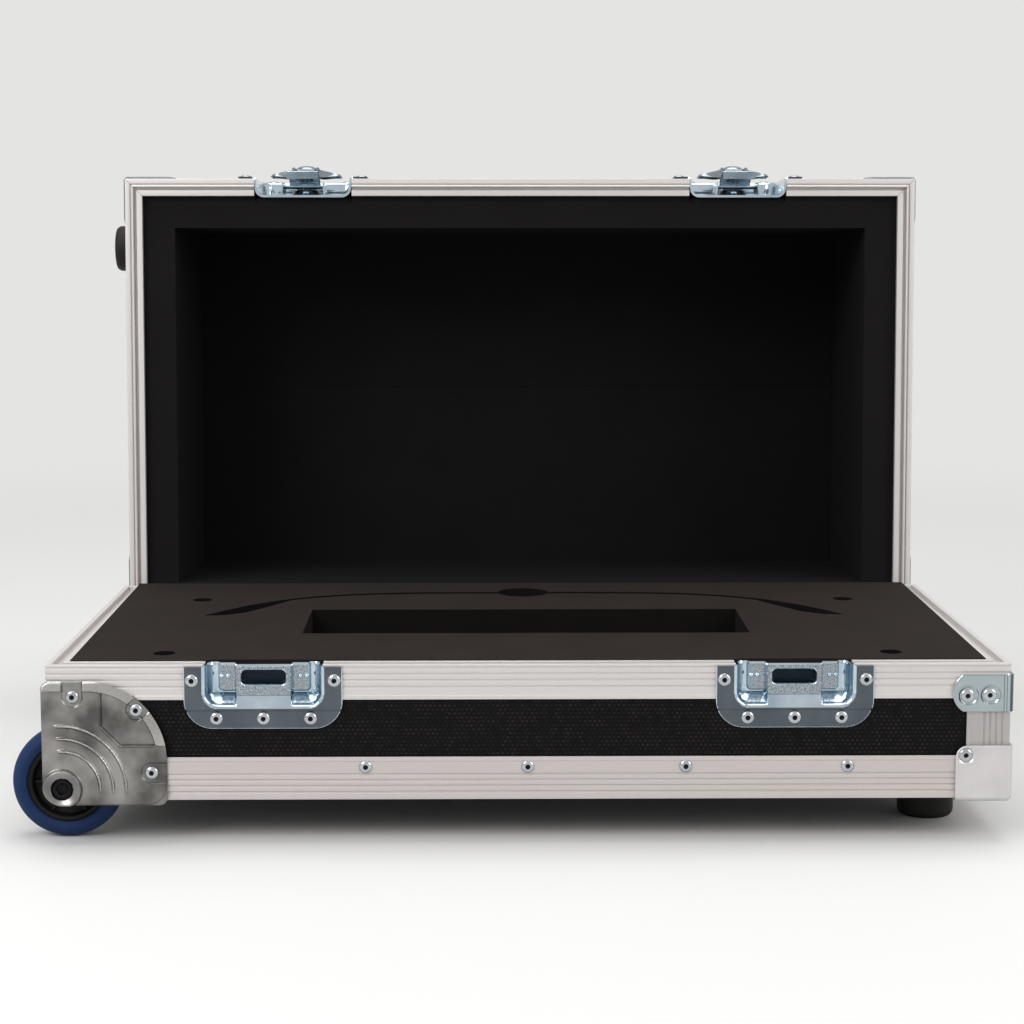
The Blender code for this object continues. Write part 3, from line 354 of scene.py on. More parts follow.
corner_stations = {
    (left, front): (-case_half, 0, 1, 1),
    (right, front): (case_half, 0, -1, 1),
    (left, rear): (-case_half, case_depth, 1, -1),
    (right, rear): (case_half, case_depth, -1, -1),
}
rim_face = 0.025
rim_width = 0.0150
rim_cap = 0.0056
channel = 0.0086
rim_inner_leg = 0.014
rim_lip = 0.0032
lip_step = 0.0004
rim_outside = [(lip_step, 0), *[(lip_step + u, v) for place in (0.0024, 0.0068, 0.0112, 0.0160)
                                for u, v in groove(place)]]
rim_outside += [(lip_step, rim_face - rim_lip), (0, rim_face - rim_lip + lip_step), (0, rim_face)]
rim_inside = [
    (leg, rim_face), (leg, rim_cap), (channel, rim_cap), (channel, rim_inner_leg),
    (channel + leg, rim_inner_leg), (channel + leg, rim_cap), (rim_width, rim_cap), (rim_width, 0),
]
base_mouth = [(0.0110, 0), (0.0110, 0.0038), (0.0044, 0.0038), (0.0044, 0)]
lid_mouth = [(0.0101, 0), (0.0101, 0.0032), (0.0079, 0.0032), (0.0079, -0.0022), (0.0074, -0.0029),
             (0.0065, -0.0029), (0.0060, -0.0022), (0.0058, 0.0014), (0.0048, 0.0014), (0.0046, 0)]

keeper_low, keeper_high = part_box("latch_keeper_right")
latch_x = (keeper_low.x + keeper_high.x) / 2 - in_base.translation.x
cutout = 0.0416


def cut_run(y, inset_y, start, end):
    """Split a run along X where the latches' or hinges' dishes pass through it."""
    way = 1 if end[0] > start[0] else -1
    stops = [start]
    for middle in (-way * latch_x, way * latch_x):
        stops += [(middle - way * cutout, y, 0, inset_y), (middle + way * cutout, y, 0, inset_y)]
    stops.append(end)
    return [(stops[index], stops[index + 1]) for index in (0, 2, 4)]


corner = corner_stations
die_round = 0.00035
for body, space, level, upward, mouth in (
    ("base", in_base, joint_z, -1, base_mouth), ("lid", in_lid, lid_z, 1, lid_mouth)
):
    section = round_corners(rim_outside + rim_inside + mouth, die_round)
    front_runs = cut_run(0, 1, corner[right, front], corner[left, front])
    rear_runs = [(corner[left, rear], corner[right, rear])]
    if body == "base":
        rear_runs = cut_run(case_depth, -1, corner[left, rear], corner[right, rear])
    shape = bmesh.new()
    for start, end in (
        front_runs[0], front_runs[2], (corner[left, front], corner[left, rear]), *rear_runs,
        (corner[right, rear], corner[right, front]),
    ):
        extrude_run(shape, section, start, end, level, upward)
    piece = add_piece(f"{body}_rim", shape, space, body, anodised)
    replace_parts(piece, f"{body}_rim_extrusion")
    shape = bmesh.new()
    extrude_run(shape, section, *front_runs[1], level, upward)
    piece = add_piece(f"{body}_rim_middle", shape, space, body, anodised)
    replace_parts(piece, f"{body}_rim_front_middle")

edge_leg = 0.031
edge_lip = 0.0030
edge_outside = [(0, v) if u == 0 else (u, v) for place in (0.0058, 0.0101, 0.0143, 0.0184)
                for u, v in groove(place)]
edge_outside += [(0, edge_leg - edge_lip - lip_step), (-lip_step, edge_leg - edge_lip), (-lip_step, edge_leg)]
edge_outside = [(lip_step + u, v) for u, v in edge_outside]
edge_section = (
    [(lip_step, lip_step)] + edge_outside
    + [(leg, edge_leg), (leg, leg), (edge_leg, leg)]
    + [(v, u) for u, v in reversed(edge_outside)]
)
edge_section = round_corners(edge_section, 0.0004)
castor_low, castor_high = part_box("castor_housing_front")
castor_end = castor_high.x - in_base.translation.x
castor_depth = castor_high.y - castor_low.y
edge_tuck = 0.004
base_edges = [
    ((castor_end - edge_tuck, 0, 0, 1), corner[right, front]),
    (corner[right, front], corner[right, rear]),
    (corner[right, rear], (castor_end - edge_tuck, case_depth, 0, -1)),
]
left_edge = ((-case_half, case_depth - castor_depth, 1, 0), (-case_half, castor_depth, 1, 0))
lid_edges = [
    (corner[left, front], corner[right, front]), (corner[right, front], corner[right, rear]),
    (corner[right, rear], corner[left, rear]), (corner[left, rear], corner[left, front]),
]


def add_post(shape, side_x, side_y, low, high):
    """An upright corner angle between the edge extrusion and the rim."""
    uv = shape.loops.layers.uv.verify()
    x, y, inset_x, inset_y = corner_stations[side_x, side_y]
    rings = [
        [shape.verts.new((x + inset_x * u, y + inset_y * v, level)) for u, v in edge_section]
        for level in (low, high)
    ]
    travel = 0
    for index in range(len(edge_section)):
        after = (index + 1) % len(edge_section)
        span = (Vector(edge_section[after]) - Vector(edge_section[index])).length
        face = shape.faces.new((rings[0][index], rings[0][after], rings[1][after], rings[1][index]))
        # The post's faces take slot 1, the darkest copy of the anodising: painted shade.
        face.material_index = 1
        for loop, mark in zip(face.loops, (travel, travel + span, travel + span, travel)):
            loop[uv].uv = (loop.vert.co.z, mark)
        travel += span
    for ring in rings:
        shape.faces.new(ring)


shape = bmesh.new()
for start, end in base_edges:
    extrude_run(shape, edge_section, start, end, base_z, 1)
for side_y in (front, rear):
    add_post(shape, right, side_y, base_z + edge_leg + mitre_gap, joint_z - rim_face - mitre_gap)
base_edge = add_piece(
    "base_edge", shape, in_base, "base", anodised_shaded_edge, more=(anodised_shaded_post,)
)
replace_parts(base_edge, "base_edge_extrusion")
shape = bmesh.new()
extrude_run(shape, edge_section, *left_edge, base_z, 1)
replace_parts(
    add_piece("base_edge_left_side", shape, in_base, "base", anodised_shaded_edge),
    "base_edge_left",
)
shape = bmesh.new()
for start, end in lid_edges:
    extrude_run(shape, edge_section, start, end, lid_top_z, -1)
for side_x, side_y in corner_stations:
    add_post(shape, side_x, side_y, lid_z + rim_face + mitre_gap, lid_top_z - edge_leg - mitre_gap)
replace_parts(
    add_piece("lid_edge", shape, in_lid, "lid", anodised_shaded_edge, more=(anodised_shaded_post,)),
    "lid_edge_extrusion",
)


# Pressed steel parts are blanks cut to an outline and pressed to a depth map. Zinc plating
# leaves a bright, slightly blue skin with a faint cloudy grain.
def zinc_skin(name, dark, light, smooth, rough, relief, grain_scale=1400.0, mottled=True):
    """Zinc plating whose grain changes its tone and its gloss."""
    material, tree, shader = new_material(name, {"Metallic": 1.0})
    speck = noise(tree, grain_scale)
    share = noise(tree, 45.0, 5.0) if mottled else spread(tree, speck, 0.32, 0.68)
    paint(tree, shader, share, dark, light)
    vary_gloss(tree, shader, speck, smooth, rough)
    emboss(tree, shader, speck, relief, 0.35)
    return material

# Plating on flat flanges; a lit copy on pressed walls and edges, painted highlight; plating on flats with the
# die's grain; and a dark copy in recesses, painted shade.
zinc_plate = zinc_skin("zinc_plated_steel", "43494E", "666E75", 0.12, 0.2, 0.00002)
zinc_painted_highlight = zinc_skin("zinc_plated_steel_painted_highlight", "869EB0", "DDE7ED", 0.08, 0.16, 0.00001)
zinc_grain = zinc_skin("zinc_plated_steel_grained", "69727A", "B7BFC5", 0.22, 0.40, 0.00008, 1050.0, False)
zinc_shaded = zinc_skin("zinc_plated_steel_shaded", "141A1E", "27313A", 0.2, 0.4, 0.00002)


def ease(value, start, end):
    """Smooth step from 0 at start to 1 at end, either way round."""
    share = min(1.0, max(0.0, (value - start) / (end - start)))
    return share * share * (3 - 2 * share)


def box_distance(a, b, centre, half_a, half_b, radius):
    """Distance outside a rounded rectangle, negative inside it."""
    reach_a = abs(a - centre[0]) - half_a + radius
    reach_b = abs(b - centre[1]) - half_b + radius
    outside = math.hypot(max(reach_a, 0), max(reach_b, 0))
    return outside + min(max(reach_a, reach_b), 0) - radius


def arc_points(centre, radius, start, end, steps):
    """Points along an arc in degrees."""
    return [
        (centre[0] + radius * math.cos(math.radians(start + (end - start) * step / steps)),
         centre[1] + radius * math.sin(math.radians(start + (end - start) * step / steps)))
        for step in range(steps + 1)
    ]


def press(outline, pitch, depth_at):
    """Cut a flat blank to a convex outline, grid it and press it: (a, b) goes to (a, depth, b)."""
    shape = bmesh.new()
    shape.faces.new([shape.verts.new((a, 0, b)) for a, b in outline])
    for axis in (0, 2):
        values = [point[axis // 2] for point in outline]
        steps = round((max(values) - min(values)) / pitch)
        normal = [0, 0, 0]
        normal[axis] = 1
        for step in range(1, steps):
            level = [0, 0, 0]
            level[axis] = min(values) + (max(values) - min(values)) * step / steps
            bmesh.ops.bisect_plane(
                shape, geom=shape.verts[:] + shape.edges[:] + shape.faces[:], dist=1e-7,
                plane_co=level, plane_no=normal,
            )
    for vertex in shape.verts:
        vertex.co.y = depth_at(vertex.co.x, vertex.co.z)
    return shape


def thicken(shape, thickness):
    """Give a pressed sheet its thickness on the side away from -Y."""
    bmesh.ops.recalc_face_normals(shape, faces=shape.faces)
    if sum(face.normal.y * face.calc_area() for face in shape.faces) > 0:
        bmesh.ops.reverse_faces(shape, faces=shape.faces)
    bmesh.ops.solidify(shape, geom=shape.faces[:], thickness=thickness)


def add_turned(shape, profile, centre, axis, steps=48):
    """Add a turned shape from (radius, place along the axis) pairs round a signed axis."""
    frame_of = {
        "X": (Vector((0, 1, 0)), Vector((0, 0, 1)), Vector((1, 0, 0))),
        "Y": (Vector((1, 0, 0)), Vector((0, 0, 1)), Vector((0, 1, 0))),
        "Z": (Vector((1, 0, 0)), Vector((0, 1, 0)), Vector((0, 0, 1))),
    }
    first, second, along = frame_of[axis[-1]]
    if axis[0] == "-":
        along = -along
    centre = Vector(centre)
    rows = []
    for radius, place in profile:
        if radius == 0:
            rows.append([shape.verts.new(centre + along * place)])
            continue
        row = []
        for step in range(steps):
            turn = 2 * math.pi * step / steps
            spot = centre + along * place + first * (radius * math.cos(turn))
            row.append(shape.verts.new(spot + second * (radius * math.sin(turn))))
        rows.append(row)
    for one, two in zip(rows, rows[1:]):
        for index in range(steps):
            after = (index + 1) % steps
            ring = ((one, index), (one, after), (two, after), (two, index))
            shape.faces.new(dict.fromkeys(row[place % len(row)] for row, place in ring))


# Keepers: 1.2 mm steel pressed into a flanged dish with a raised catch, whose window takes
# the hook. The flange is cranked, because its lower part lies on the panel. Depths count
# from the case's face.
sheet = 0.0012
face_gap = 0.0003
flange_face = -sheet - face_gap
flange_half = 0.0555
flange_round = 0.020
flange_joint_gap = 0.0015
flange_bottom = -0.0455
crank_level = -0.0325
crank = 0.0012
crank_run = 0.0012
past_joint = 0.05
lip_half = 0.0430
lip_round = 0.0030
lip_corner = 0.0120
dish_wall = 0.0006
dish_corner = 0.0062
dish_floor = 0.0143
keeper_dish_bottom = -0.0315


def dish_profile(inside):
    """Depth of the pressed dish by distance in from its lip: rolled lip, wall, round corner."""
    if inside <= 0:
        return flange_face
    if inside < lip_round:
        return flange_face + lip_round - math.sqrt(lip_round ** 2 - inside ** 2)
    wall_top = flange_face + lip_round
    wall_end = dish_floor - dish_corner
    if inside < lip_round + dish_wall:
        return wall_top + (wall_end - wall_top) * (inside - lip_round) / dish_wall
    across = inside - lip_round - dish_wall
    if across < dish_corner:
        return wall_end + math.sqrt(dish_corner ** 2 - (dish_corner - across) ** 2)
    return dish_floor


def blend_depth(depth, other, share):
    """Move a depth towards another by a share."""
    return depth + (other - depth) * share


catch_half = 0.0204
catch_front = 0.0030
catch_bottom = -0.0223
catch_side = 0.0013
ledge = 0.0062
ledge_step = 0.0009
side_floor = 0.0115
top_round = 0.0013
wing_plate_outer = 0.0325
wing_plate_bottom = -0.0212
wing_plate_depth = 0.0095
window_half = 0.0149
window_top = -0.0050
window_bottom = -0.0143
window_round = 0.0020
window_bevel = 0.0011
window_depth = 0.0125
window_sink = 0.0012
window_run = 0.0007
wing_plate_round = 0.0035
wing_plate_run = 0.0014
pip_places = ((0.0254, -0.0098), (0.0300, -0.0098))
pip_radius = 0.0018
pip_height = 0.0012
pip_profile = [(pip_radius, 0.0002), (pip_radius, 0), (pip_radius * 0.8, -pip_height * 0.6),
               (pip_radius * 0.4, -pip_height * 0.93), (0, -pip_height)]
grain_levels = (catch_front, wing_plate_depth)
# The lit and dark copies of the plating paint highlight and shade onto the pressings.
pressing_skins = (zinc_painted_highlight, zinc_grain, zinc_shaded)
painted_highlight_from = 0.0002
painted_highlight_edge = 0.0004
edge_turn = 0.0005
level_reach = 0.0006


def mark_pressing(shape, inside_at, rim_at, grained, shaded=()):
    """Give the pressed walls and edges of a sheet the lit copy of its plating as painted highlight, its flats
    the grain of the die, and its shaded depths the dark copy as painted shade.
    """
    for face in shape.faces:
        a, depth, b = face.calc_center_median()
        if inside_at(a, b) > painted_highlight_from or rim_at(a, b) < painted_highlight_edge:
            face.material_index = 1
        if abs(face.normal.y) > 0.95 and any(abs(depth - level) < level_reach for level in grained):
            face.material_index = 2
        if abs(face.normal.y) > 0.9 and any(abs(depth - level) < level_reach for level in shaded):
            face.material_index = 3



def keeper_inside(a, b):
    """Distance in from the lip of the keeper's dish."""
    return -box_distance(a, b, (0, past_joint), lip_half, past_joint - keeper_dish_bottom, lip_corner)


def keeper_rim(a, b):
    """Distance in from the keeper's own edge."""
    return -box_distance(a, b, (0, past_joint), flange_half, past_joint - flange_bottom, flange_round)


def keeper_depth(a, b):
    """Depth of the keeper by place from its middle and the joint."""
    a = abs(a)
    inside = keeper_inside(a, b)
    if inside <= 0:
        rim = keeper_rim(a, b)
        turned = edge_turn * ease(rim, edge_turn * 1.4, 0)
        return flange_face + crank * ease(b, crank_level + crank_run, crank_level - crank_run) + turned
    depth = dish_profile(inside)
    plate_half = past_joint - wing_plate_bottom
    plate = -box_distance(a, b, (0, past_joint), wing_plate_outer, plate_half, wing_plate_round)
    if plate > 0:
        depth = min(depth, blend_depth(depth, wing_plate_depth, ease(plate, 0, wing_plate_run)))
    low = catch_bottom - b
    if low > 0:
        slope = blend_depth(side_floor, flange_face + lip_round, min(1, low / ledge))
        depth = min(depth, slope)
    side = catch_half - a
    if side > 0 and low <= 0:
        depth = blend_depth(depth, catch_front, ease(side, 0, catch_side))
    elif side > 0:
        ramp = blend_depth(catch_front + ledge_step, flange_face + ledge_step, min(1, low / ledge))
        depth = min(depth, blend_depth(depth, ramp, ease(side, 0, catch_side)))
    window_middle = (window_top + window_bottom) / 2
    window_reach = (window_top - window_bottom) / 2
    window = -box_distance(a, b, (0, window_middle), window_half, window_reach, window_round)
    if window > -window_bevel:
        depth += window_sink * ease(window, -window_bevel, 0)
        depth = blend_depth(depth, window_depth, ease(window, 0, window_run))
    rolled = min(top_round, max(0, b + flange_joint_gap + top_round))
    if inside > lip_round + dish_wall:
        depth += top_round - math.sqrt(top_round ** 2 - rolled ** 2)
    return min(depth, dish_floor)


def meet_joint(shape, flange_level):
    """Draw the dish's own edge out past the flange's, up to the joint."""
    for vertex in shape.verts:
        near = ease(abs(vertex.co.z - flange_level), 0.0010, 0)
        in_dish = ease(abs(vertex.co.x), lip_half, lip_half - lip_round)
        way = 1 if flange_level < 0 else -1
        vertex.co.z += way * near * in_dish * (flange_joint_gap - face_gap)


corner_arc = arc_points(
    (flange_half - flange_round, flange_bottom + flange_round), flange_round, -90, 0, 14
)
half_outline = corner_arc + [(flange_half, -flange_joint_gap)]
keeper_outline = half_outline + [(-a, b) for a, b in reversed(half_outline)]
keeper_shape = press(keeper_outline, 0.0006, keeper_depth)
meet_joint(keeper_shape, -flange_joint_gap)
thicken(keeper_shape, sheet)
# Faces at the window's depth take the dark copy of the plating: painted shade in the window.
mark_pressing(keeper_shape, keeper_inside, keeper_rim, grain_levels, (window_depth,))
for side, place in ((left, -latch_x), (right, latch_x)):
    shape = keeper_shape.copy()
    shape.transform(Matrix.Translation((place, 0, joint_z)))
    for pip_a, pip_b in pip_places:
        for way in (-1, 1):
            centre = (place + way * pip_a, wing_plate_depth, joint_z + pip_b)
            add_turned(shape, pip_profile, centre, "Y", 16)
    # The pips and the faces round them take the lit copy of the plating: painted highlight.
    for face in shape.faces:
        middle = face.calc_center_median()
        if middle.y < wing_plate_depth - 0.0001 and abs(middle.z - joint_z - pip_places[0][1]) < pip_radius:
            if pip_places[0][0] - pip_radius < abs(middle.x - place) < pip_places[1][0] + pip_radius:
                face.material_index = 1
    keeper = add_piece(
        f"keeper_{side}", shape, in_base, "base", zinc_plate, more=pressing_skins
    )
    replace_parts(keeper, f"latch_keeper_{side}")
keeper_shape.free()


# Castor housings: a corner of pressed steel over the wheel, satin from tumbling, with a
# raised band along its arc, a sunken sector, three ribs round the axle and rivet seats.
tumbled_steel, tree, shader = new_material("tumbled_steel", {"Metallic": 1.0, "Roughness": 0.34})
spot = add_node(tree, "ShaderNodeNewGeometry")
scuff = add_node(
    tree, "ShaderNodeMapping", {"Vector": spot.outputs["Position"], "Scale": (160.0, 160.0, 900.0)}
)
scratch = noise(tree, 1.0, 4.0, scuff.outputs[0])
paint(tree, shader, spread(tree, noise(tree, 30.0, 3.0), 0.36, 0.64), "595856", "9A9895")
vary_gloss(tree, shader, scratch, 0.26, 0.42)
emboss(tree, shader, scratch, 0.00003, 0.4)
# Its raised parts and its band are painted lighter: partly burnish from rubbing, partly painted highlight.
burnished_and_highlight_steel = zinc_skin("burnished_and_highlight_steel", "9A9895", "BDBAB7", 0.22, 0.32, 0.00002)

wheel_low, wheel_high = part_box("wheel_tyre_front")
castor_plate = 0.0025
castor_width = 0.0875
castor_height = 0.0885
castor_big = 0.056
castor_small = 0.0056
castor_corner = 0.0145
castor_left = -case_half - face_gap - castor_plate
castor_bottom = base_z - face_gap - castor_plate
castor_right = castor_left + castor_width
castor_top = castor_bottom + castor_height
axle_x = (wheel_low.x + wheel_high.x) / 2 - in_base.translation.x
axle_z = (wheel_low.z + wheel_high.z) / 2
castor_outline = (
    arc_points((castor_left + castor_corner, castor_bottom + castor_corner), castor_corner, 180, 270, 10)
    + arc_points((castor_right - castor_small, castor_bottom + castor_small), castor_small, -90, 0, 6)
    + arc_points((castor_right - castor_big, castor_top - castor_big), castor_big, 0, 90, 28)
    + arc_points((castor_left + castor_small, castor_top - castor_small), castor_small, 90, 180, 6)
)
band_width = 0.0063
band_rise = 0.0014
sector_x = -0.2999
sector_z = 0.0713
sector_cut = 0.0134
sector_depth = 0.0016
sector_ridge = 0.0008
rib_radii = (0.045, 0.036, 0.027)
rib_half = 0.0016
rib_rise = 0.0017
rivet_seats = (((-0.3198, 0.1057), 90), ((-0.2755, 0.0962), 45), ((-0.2652, 0.0515), 0))
seat_radius = 0.0072
seat_depth = 0.0011
hub_radius = 0.0137
hub_rise = 0.0030
hub_cone = 0.0022
hub_flat = hub_radius - 0.0014
bolt_hole = 0.0078
bolt_well = 0.0060
burnish_and_highlight_from = 0.0009
edge_roll = 0.0010
edge_reach = 0.0014


def castor_band(a, b):
    """Distance in from the castor's arc and the straights that it runs into."""
    big_a, big_b = castor_right - castor_big, castor_top - castor_big
    if b < big_b:
        return castor_right - a
    if a < big_a:
        return castor_top - b
    return castor_big - math.hypot(a - big_a, b - big_b)


def seat_reach(a, b, place, aim):
    """Distance from the middle line of a rivet seat, which runs out to the castor's edge."""
    aim = math.radians(aim)
    out = (a - place[0]) * math.cos(aim) + (b - place[1]) * math.sin(aim)
    across = -(a - place[0]) * math.sin(aim) + (b - place[1]) * math.cos(aim)
    return math.hypot(min(out, 0), across)


def castor_depth_at(a, b):
    """Depth of the castor's front plate: above zero is behind its face."""
    depth = 0.0
    from_arc = castor_band(a, b)
    along_band = ease(b, sector_z - 0.0008, sector_z + 0.0004)
    slope = min(1.0, max(0.0, from_arc / band_width))
    depth -= band_rise * slope * ease(from_arc, band_width + 0.0010, band_width) * along_band
    past_corner = (a - sector_x) + (b - sector_z) - sector_cut
    inside = min(a - sector_x, b - sector_z, past_corner * math.sqrt(0.5), from_arc - band_width)
    depth += sector_depth * ease(inside, -0.0002, 0.0010)
    if from_arc > band_width:
        depth -= sector_ridge * ease(abs(inside + sector_ridge), 0.0009, 0)
    radius = math.hypot(a - axle_x, b - axle_z)
    turn = math.degrees(math.atan2(b - axle_z, a - axle_x))
    taper = ease(turn, -8, 2) * ease(turn, 98, 92)
    for rib in rib_radii:
        depth -= rib_rise * taper * ease(abs(radius - rib), rib_half, 0)
    for place, aim in rivet_seats:
        sunk = ease(seat_reach(a, b, place, aim), seat_radius + 0.0004, seat_radius - 0.0006)
        depth += (seat_depth - min(depth, 0)) * sunk
    depth -= hub_rise * ease(radius, hub_radius + 0.0012, hub_radius - 0.0008)
    depth += hub_cone * max(0, min(1, (hub_flat - radius) / (hub_flat - bolt_hole)))
    depth += bolt_well * ease(radius, bolt_hole, bolt_hole - 0.0006)
    edge = box_distance(
        a, b, ((castor_left + castor_right) / 2, (castor_bottom + castor_top) / 2),
        castor_width / 2, castor_height / 2, castor_corner if b < axle_z else castor_small,
    )
    return depth + edge_roll * ease(edge, -edge_reach, 0) ** 2


castor_face = press(castor_outline, 0.0005, castor_depth_at)
thicken(castor_face, castor_plate)
# Raised faces and the band take the lighter slot: partly burnish, partly painted highlight.
for face in castor_face.faces:
    a, depth, b = face.calc_center_median()
    near_hub = math.hypot(a - axle_x, b - axle_z) < hub_radius + 0.002
    if (depth < -burnish_and_highlight_from and not near_hub) or (castor_band(a, b) < band_width and b > sector_z):
        if all(seat_reach(a, b, *seat) > seat_radius for seat in rivet_seats):
            face.material_index = 1
well_radius = 0.044
well_wall = 0.002
well_front = 0.0125
well_back = 0.0445


def add_prism(shape, outline, place_at):
    """Add a prism between two levels, 0 and 1, that place_at turns into points."""
    rings = [[shape.verts.new(place_at(a, b, level)) for a, b in outline] for level in (0, 1)]
    for index in range(len(outline)):
        after = (index + 1) % len(outline)
        shape.faces.new((rings[0][index], rings[0][after], rings[1][after], rings[1][index]))
    for ring in rings:
        shape.faces.new(ring)


def add_castor_shell(shape):
    """Side and bottom plates of the castor, and its round wheel well between two cheeks."""

    def upright(outline, start, end):
        add_prism(shape, outline, lambda a, b, level: (a, start + (end - start) * level, b))

    inner_x, inner_z = castor_left + castor_plate, castor_bottom + castor_plate
    side_top, flat_end = castor_top - castor_small, castor_right - castor_small
    cheek = well_radius + well_wall
    outer_run = math.sqrt(cheek ** 2 - (castor_bottom - axle_z) ** 2)
    outer_rise = math.sqrt(cheek ** 2 - (castor_left - axle_x) ** 2)
    outer_start = math.degrees(math.atan2(castor_bottom - axle_z, outer_run))
    outer_end = math.degrees(math.atan2(outer_rise, castor_left - axle_x))
    inner_start = math.degrees(math.asin((castor_bottom - axle_z) / well_radius))
    inner_end = math.degrees(math.acos((castor_left - axle_x) / well_radius))
    outer = arc_points((axle_x, axle_z), cheek, outer_start, outer_end, 30)
    inner = arc_points((axle_x, axle_z), well_radius, inner_start, inner_end, 30)
    upright(outer + inner[::-1], well_front, well_back)
    turn_centre = (castor_left + castor_corner, castor_bottom + castor_corner)
    turn_outer = arc_points(turn_centre, castor_corner, 180, 270, 10)
    turn_inner = arc_points(turn_centre, castor_corner - castor_plate, 180, 270, 10)
    upright(outer + turn_outer, well_front - well_wall, well_front)
    upright(outer + turn_outer, well_back, well_back + well_wall)
    high, far = axle_z + outer_rise, axle_x + outer_run
    for start, end in ((-face_gap, well_front - well_wall), (well_back + well_wall, castor_depth)):
        upright(
            [(castor_left, high)] + turn_outer + [(far, castor_bottom), (far, inner_z)]
            + turn_inner[::-1] + [(inner_x, high)],
            start, end,
        )
    upright(
        [(castor_left, high), (inner_x, high), (inner_x, side_top), (castor_left, side_top)],
        -face_gap, castor_depth,
    )
    upright(
        [(far, castor_bottom), (flat_end, castor_bottom), (flat_end, inner_z), (far, inner_z)],
        -face_gap, castor_depth,
    )


def mirror_to_rear(shape):
    """Mirror a shape from the front half of the case to the rear."""
    shape.transform(Matrix.Translation((0, case_depth, 0)) @ Matrix.Scale(-1, 4, (0, 1, 0)))


for side in (front, rear):
    shape = castor_face.copy()
    shape.transform(Matrix.Translation((0, -face_gap - castor_plate, 0)))
    add_castor_shell(shape)
    if side == rear:
        mirror_to_rear(shape)
    castor = add_piece(
        f"castor_pressing_{side}", shape, in_base, "base", tumbled_steel,
        more=(burnished_and_highlight_steel,),
    )
    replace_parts(castor, f"castor_housing_{side}")
castor_face.free()


# Wheels: an 80 mm castor wheel, blue elastic rubber bonded to a black nylon hub with a
# stepped web, turning on a black socket-head bolt.
blue_rubber, tree, shader = new_material("blue_elastic_rubber", {"Roughness": 0.6, "Specular IOR Level": 0.2})
paint(tree, shader, noise(tree, 70.0, 5.0), "0F2243", "17305C")
emboss(tree, shader, noise(tree, 900.0), 0.00005, 0.4)
nylon, tree, shader = new_material(
    "black_nylon", {"Base Color": linear("0D0C0C"), "Roughness": 0.6, "Specular IOR Level": 0.2}
)
emboss(tree, shader, noise(tree, 700.0), 0.00005, 0.5)
blackened, tree, shader = new_material("blackened_steel", {"Metallic": 0.9, "Roughness": 0.32})
paint(tree, shader, noise(tree, 240.0, 4.0), "0D0C0E", "252325")

def round_profile(points, radius, steps=4):
    """Round the inner corners of an open profile."""
    closed = round_corners(points, radius, steps)
    count = steps + 1
    return [points[0]] + [tuple(point) for point in closed[count:-count]] + [points[-1]]


tyre_radius = (wheel_high.x - wheel_low.x) / 2
wheel_width = wheel_high.y - wheel_low.y
hub_low, hub_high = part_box("wheel_hub_front")
bond_radius = (hub_high.x - hub_low.x) / 2
half_width = wheel_width / 2
tyre_profile = [
    (bond_radius, -half_width + 0.0022), (bond_radius + 0.0010, -half_width + 0.0010),
    (tyre_radius - 0.0060, -half_width), (tyre_radius - 0.0012, -half_width + 0.0038),
    (tyre_radius, -half_width + 0.0085), (tyre_radius, half_width - 0.0085),
    (tyre_radius - 0.0012, half_width - 0.0038), (tyre_radius - 0.0060, half_width),
    (bond_radius + 0.0010, half_width - 0.0010), (bond_radius, half_width - 0.0022),
]
rim_inner = bond_radius - 0.0035
web_half = 0.0042
boss_radius = 0.0115
boss_half = half_width - 0.0006
bore = 0.0056
hub_half_profile = [
    (bond_radius, 0), (bond_radius, -half_width + 0.0022), (bond_radius - 0.0012, -half_width + 0.0014),
    (rim_inner, -half_width + 0.0020), (rim_inner - 0.0012, -web_half - 0.0012),
    (rim_inner - 0.0040, -web_half), (boss_radius + 0.0030, -web_half),
    (boss_radius + 0.0008, -web_half - 0.0016),
    (boss_radius, -boss_half + 0.0010), (boss_radius - 0.0010, -boss_half), (bore, -boss_half), (bore, 0),
]
rib_count = 6
for side in (front, rear):
    wheel_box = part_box(f"wheel_tyre_{side}")
    centre = in_base.inverted() @ ((wheel_box[0] + wheel_box[1]) / 2)
    shape = bmesh.new()
    add_turned(shape, round_profile(tyre_profile, 0.0022), centre, "Y", 96)
    tyre = add_piece(
        f"tyre_{side}", shape, in_base, f"wheel_{side}", blue_rubber, math.radians(60)
    )
    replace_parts(tyre, f"wheel_tyre_{side}")
    shape = bmesh.new()
    hub_profile = round_profile(hub_half_profile, 0.0008)
    for axis in ("Y", "-Y"):
        add_turned(shape, hub_profile, centre, axis, 72)
    for rib in range(rib_count):
        turn = 2 * math.pi * rib / rib_count
        spoke = Matrix.Translation(centre) @ Matrix.Rotation(turn, 4, "Y")
        for way in (-1, 1):
            add_prism(
                shape, [(boss_radius - 0.001, -0.0011), (rim_inner + 0.001, -0.0009),
                        (rim_inner + 0.001, 0.0009), (boss_radius - 0.001, 0.0011)],
                lambda a, b, level: spoke @ Vector((a, way * (web_half - 0.0005 + 0.0030 * level), b)),
            )
    bmesh.ops.remove_doubles(shape, verts=shape.verts, dist=1e-6)
    hub = add_piece(f"hub_{side}", shape, in_base, f"wheel_{side}", nylon)
    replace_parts(hub, f"wheel_hub_{side}")

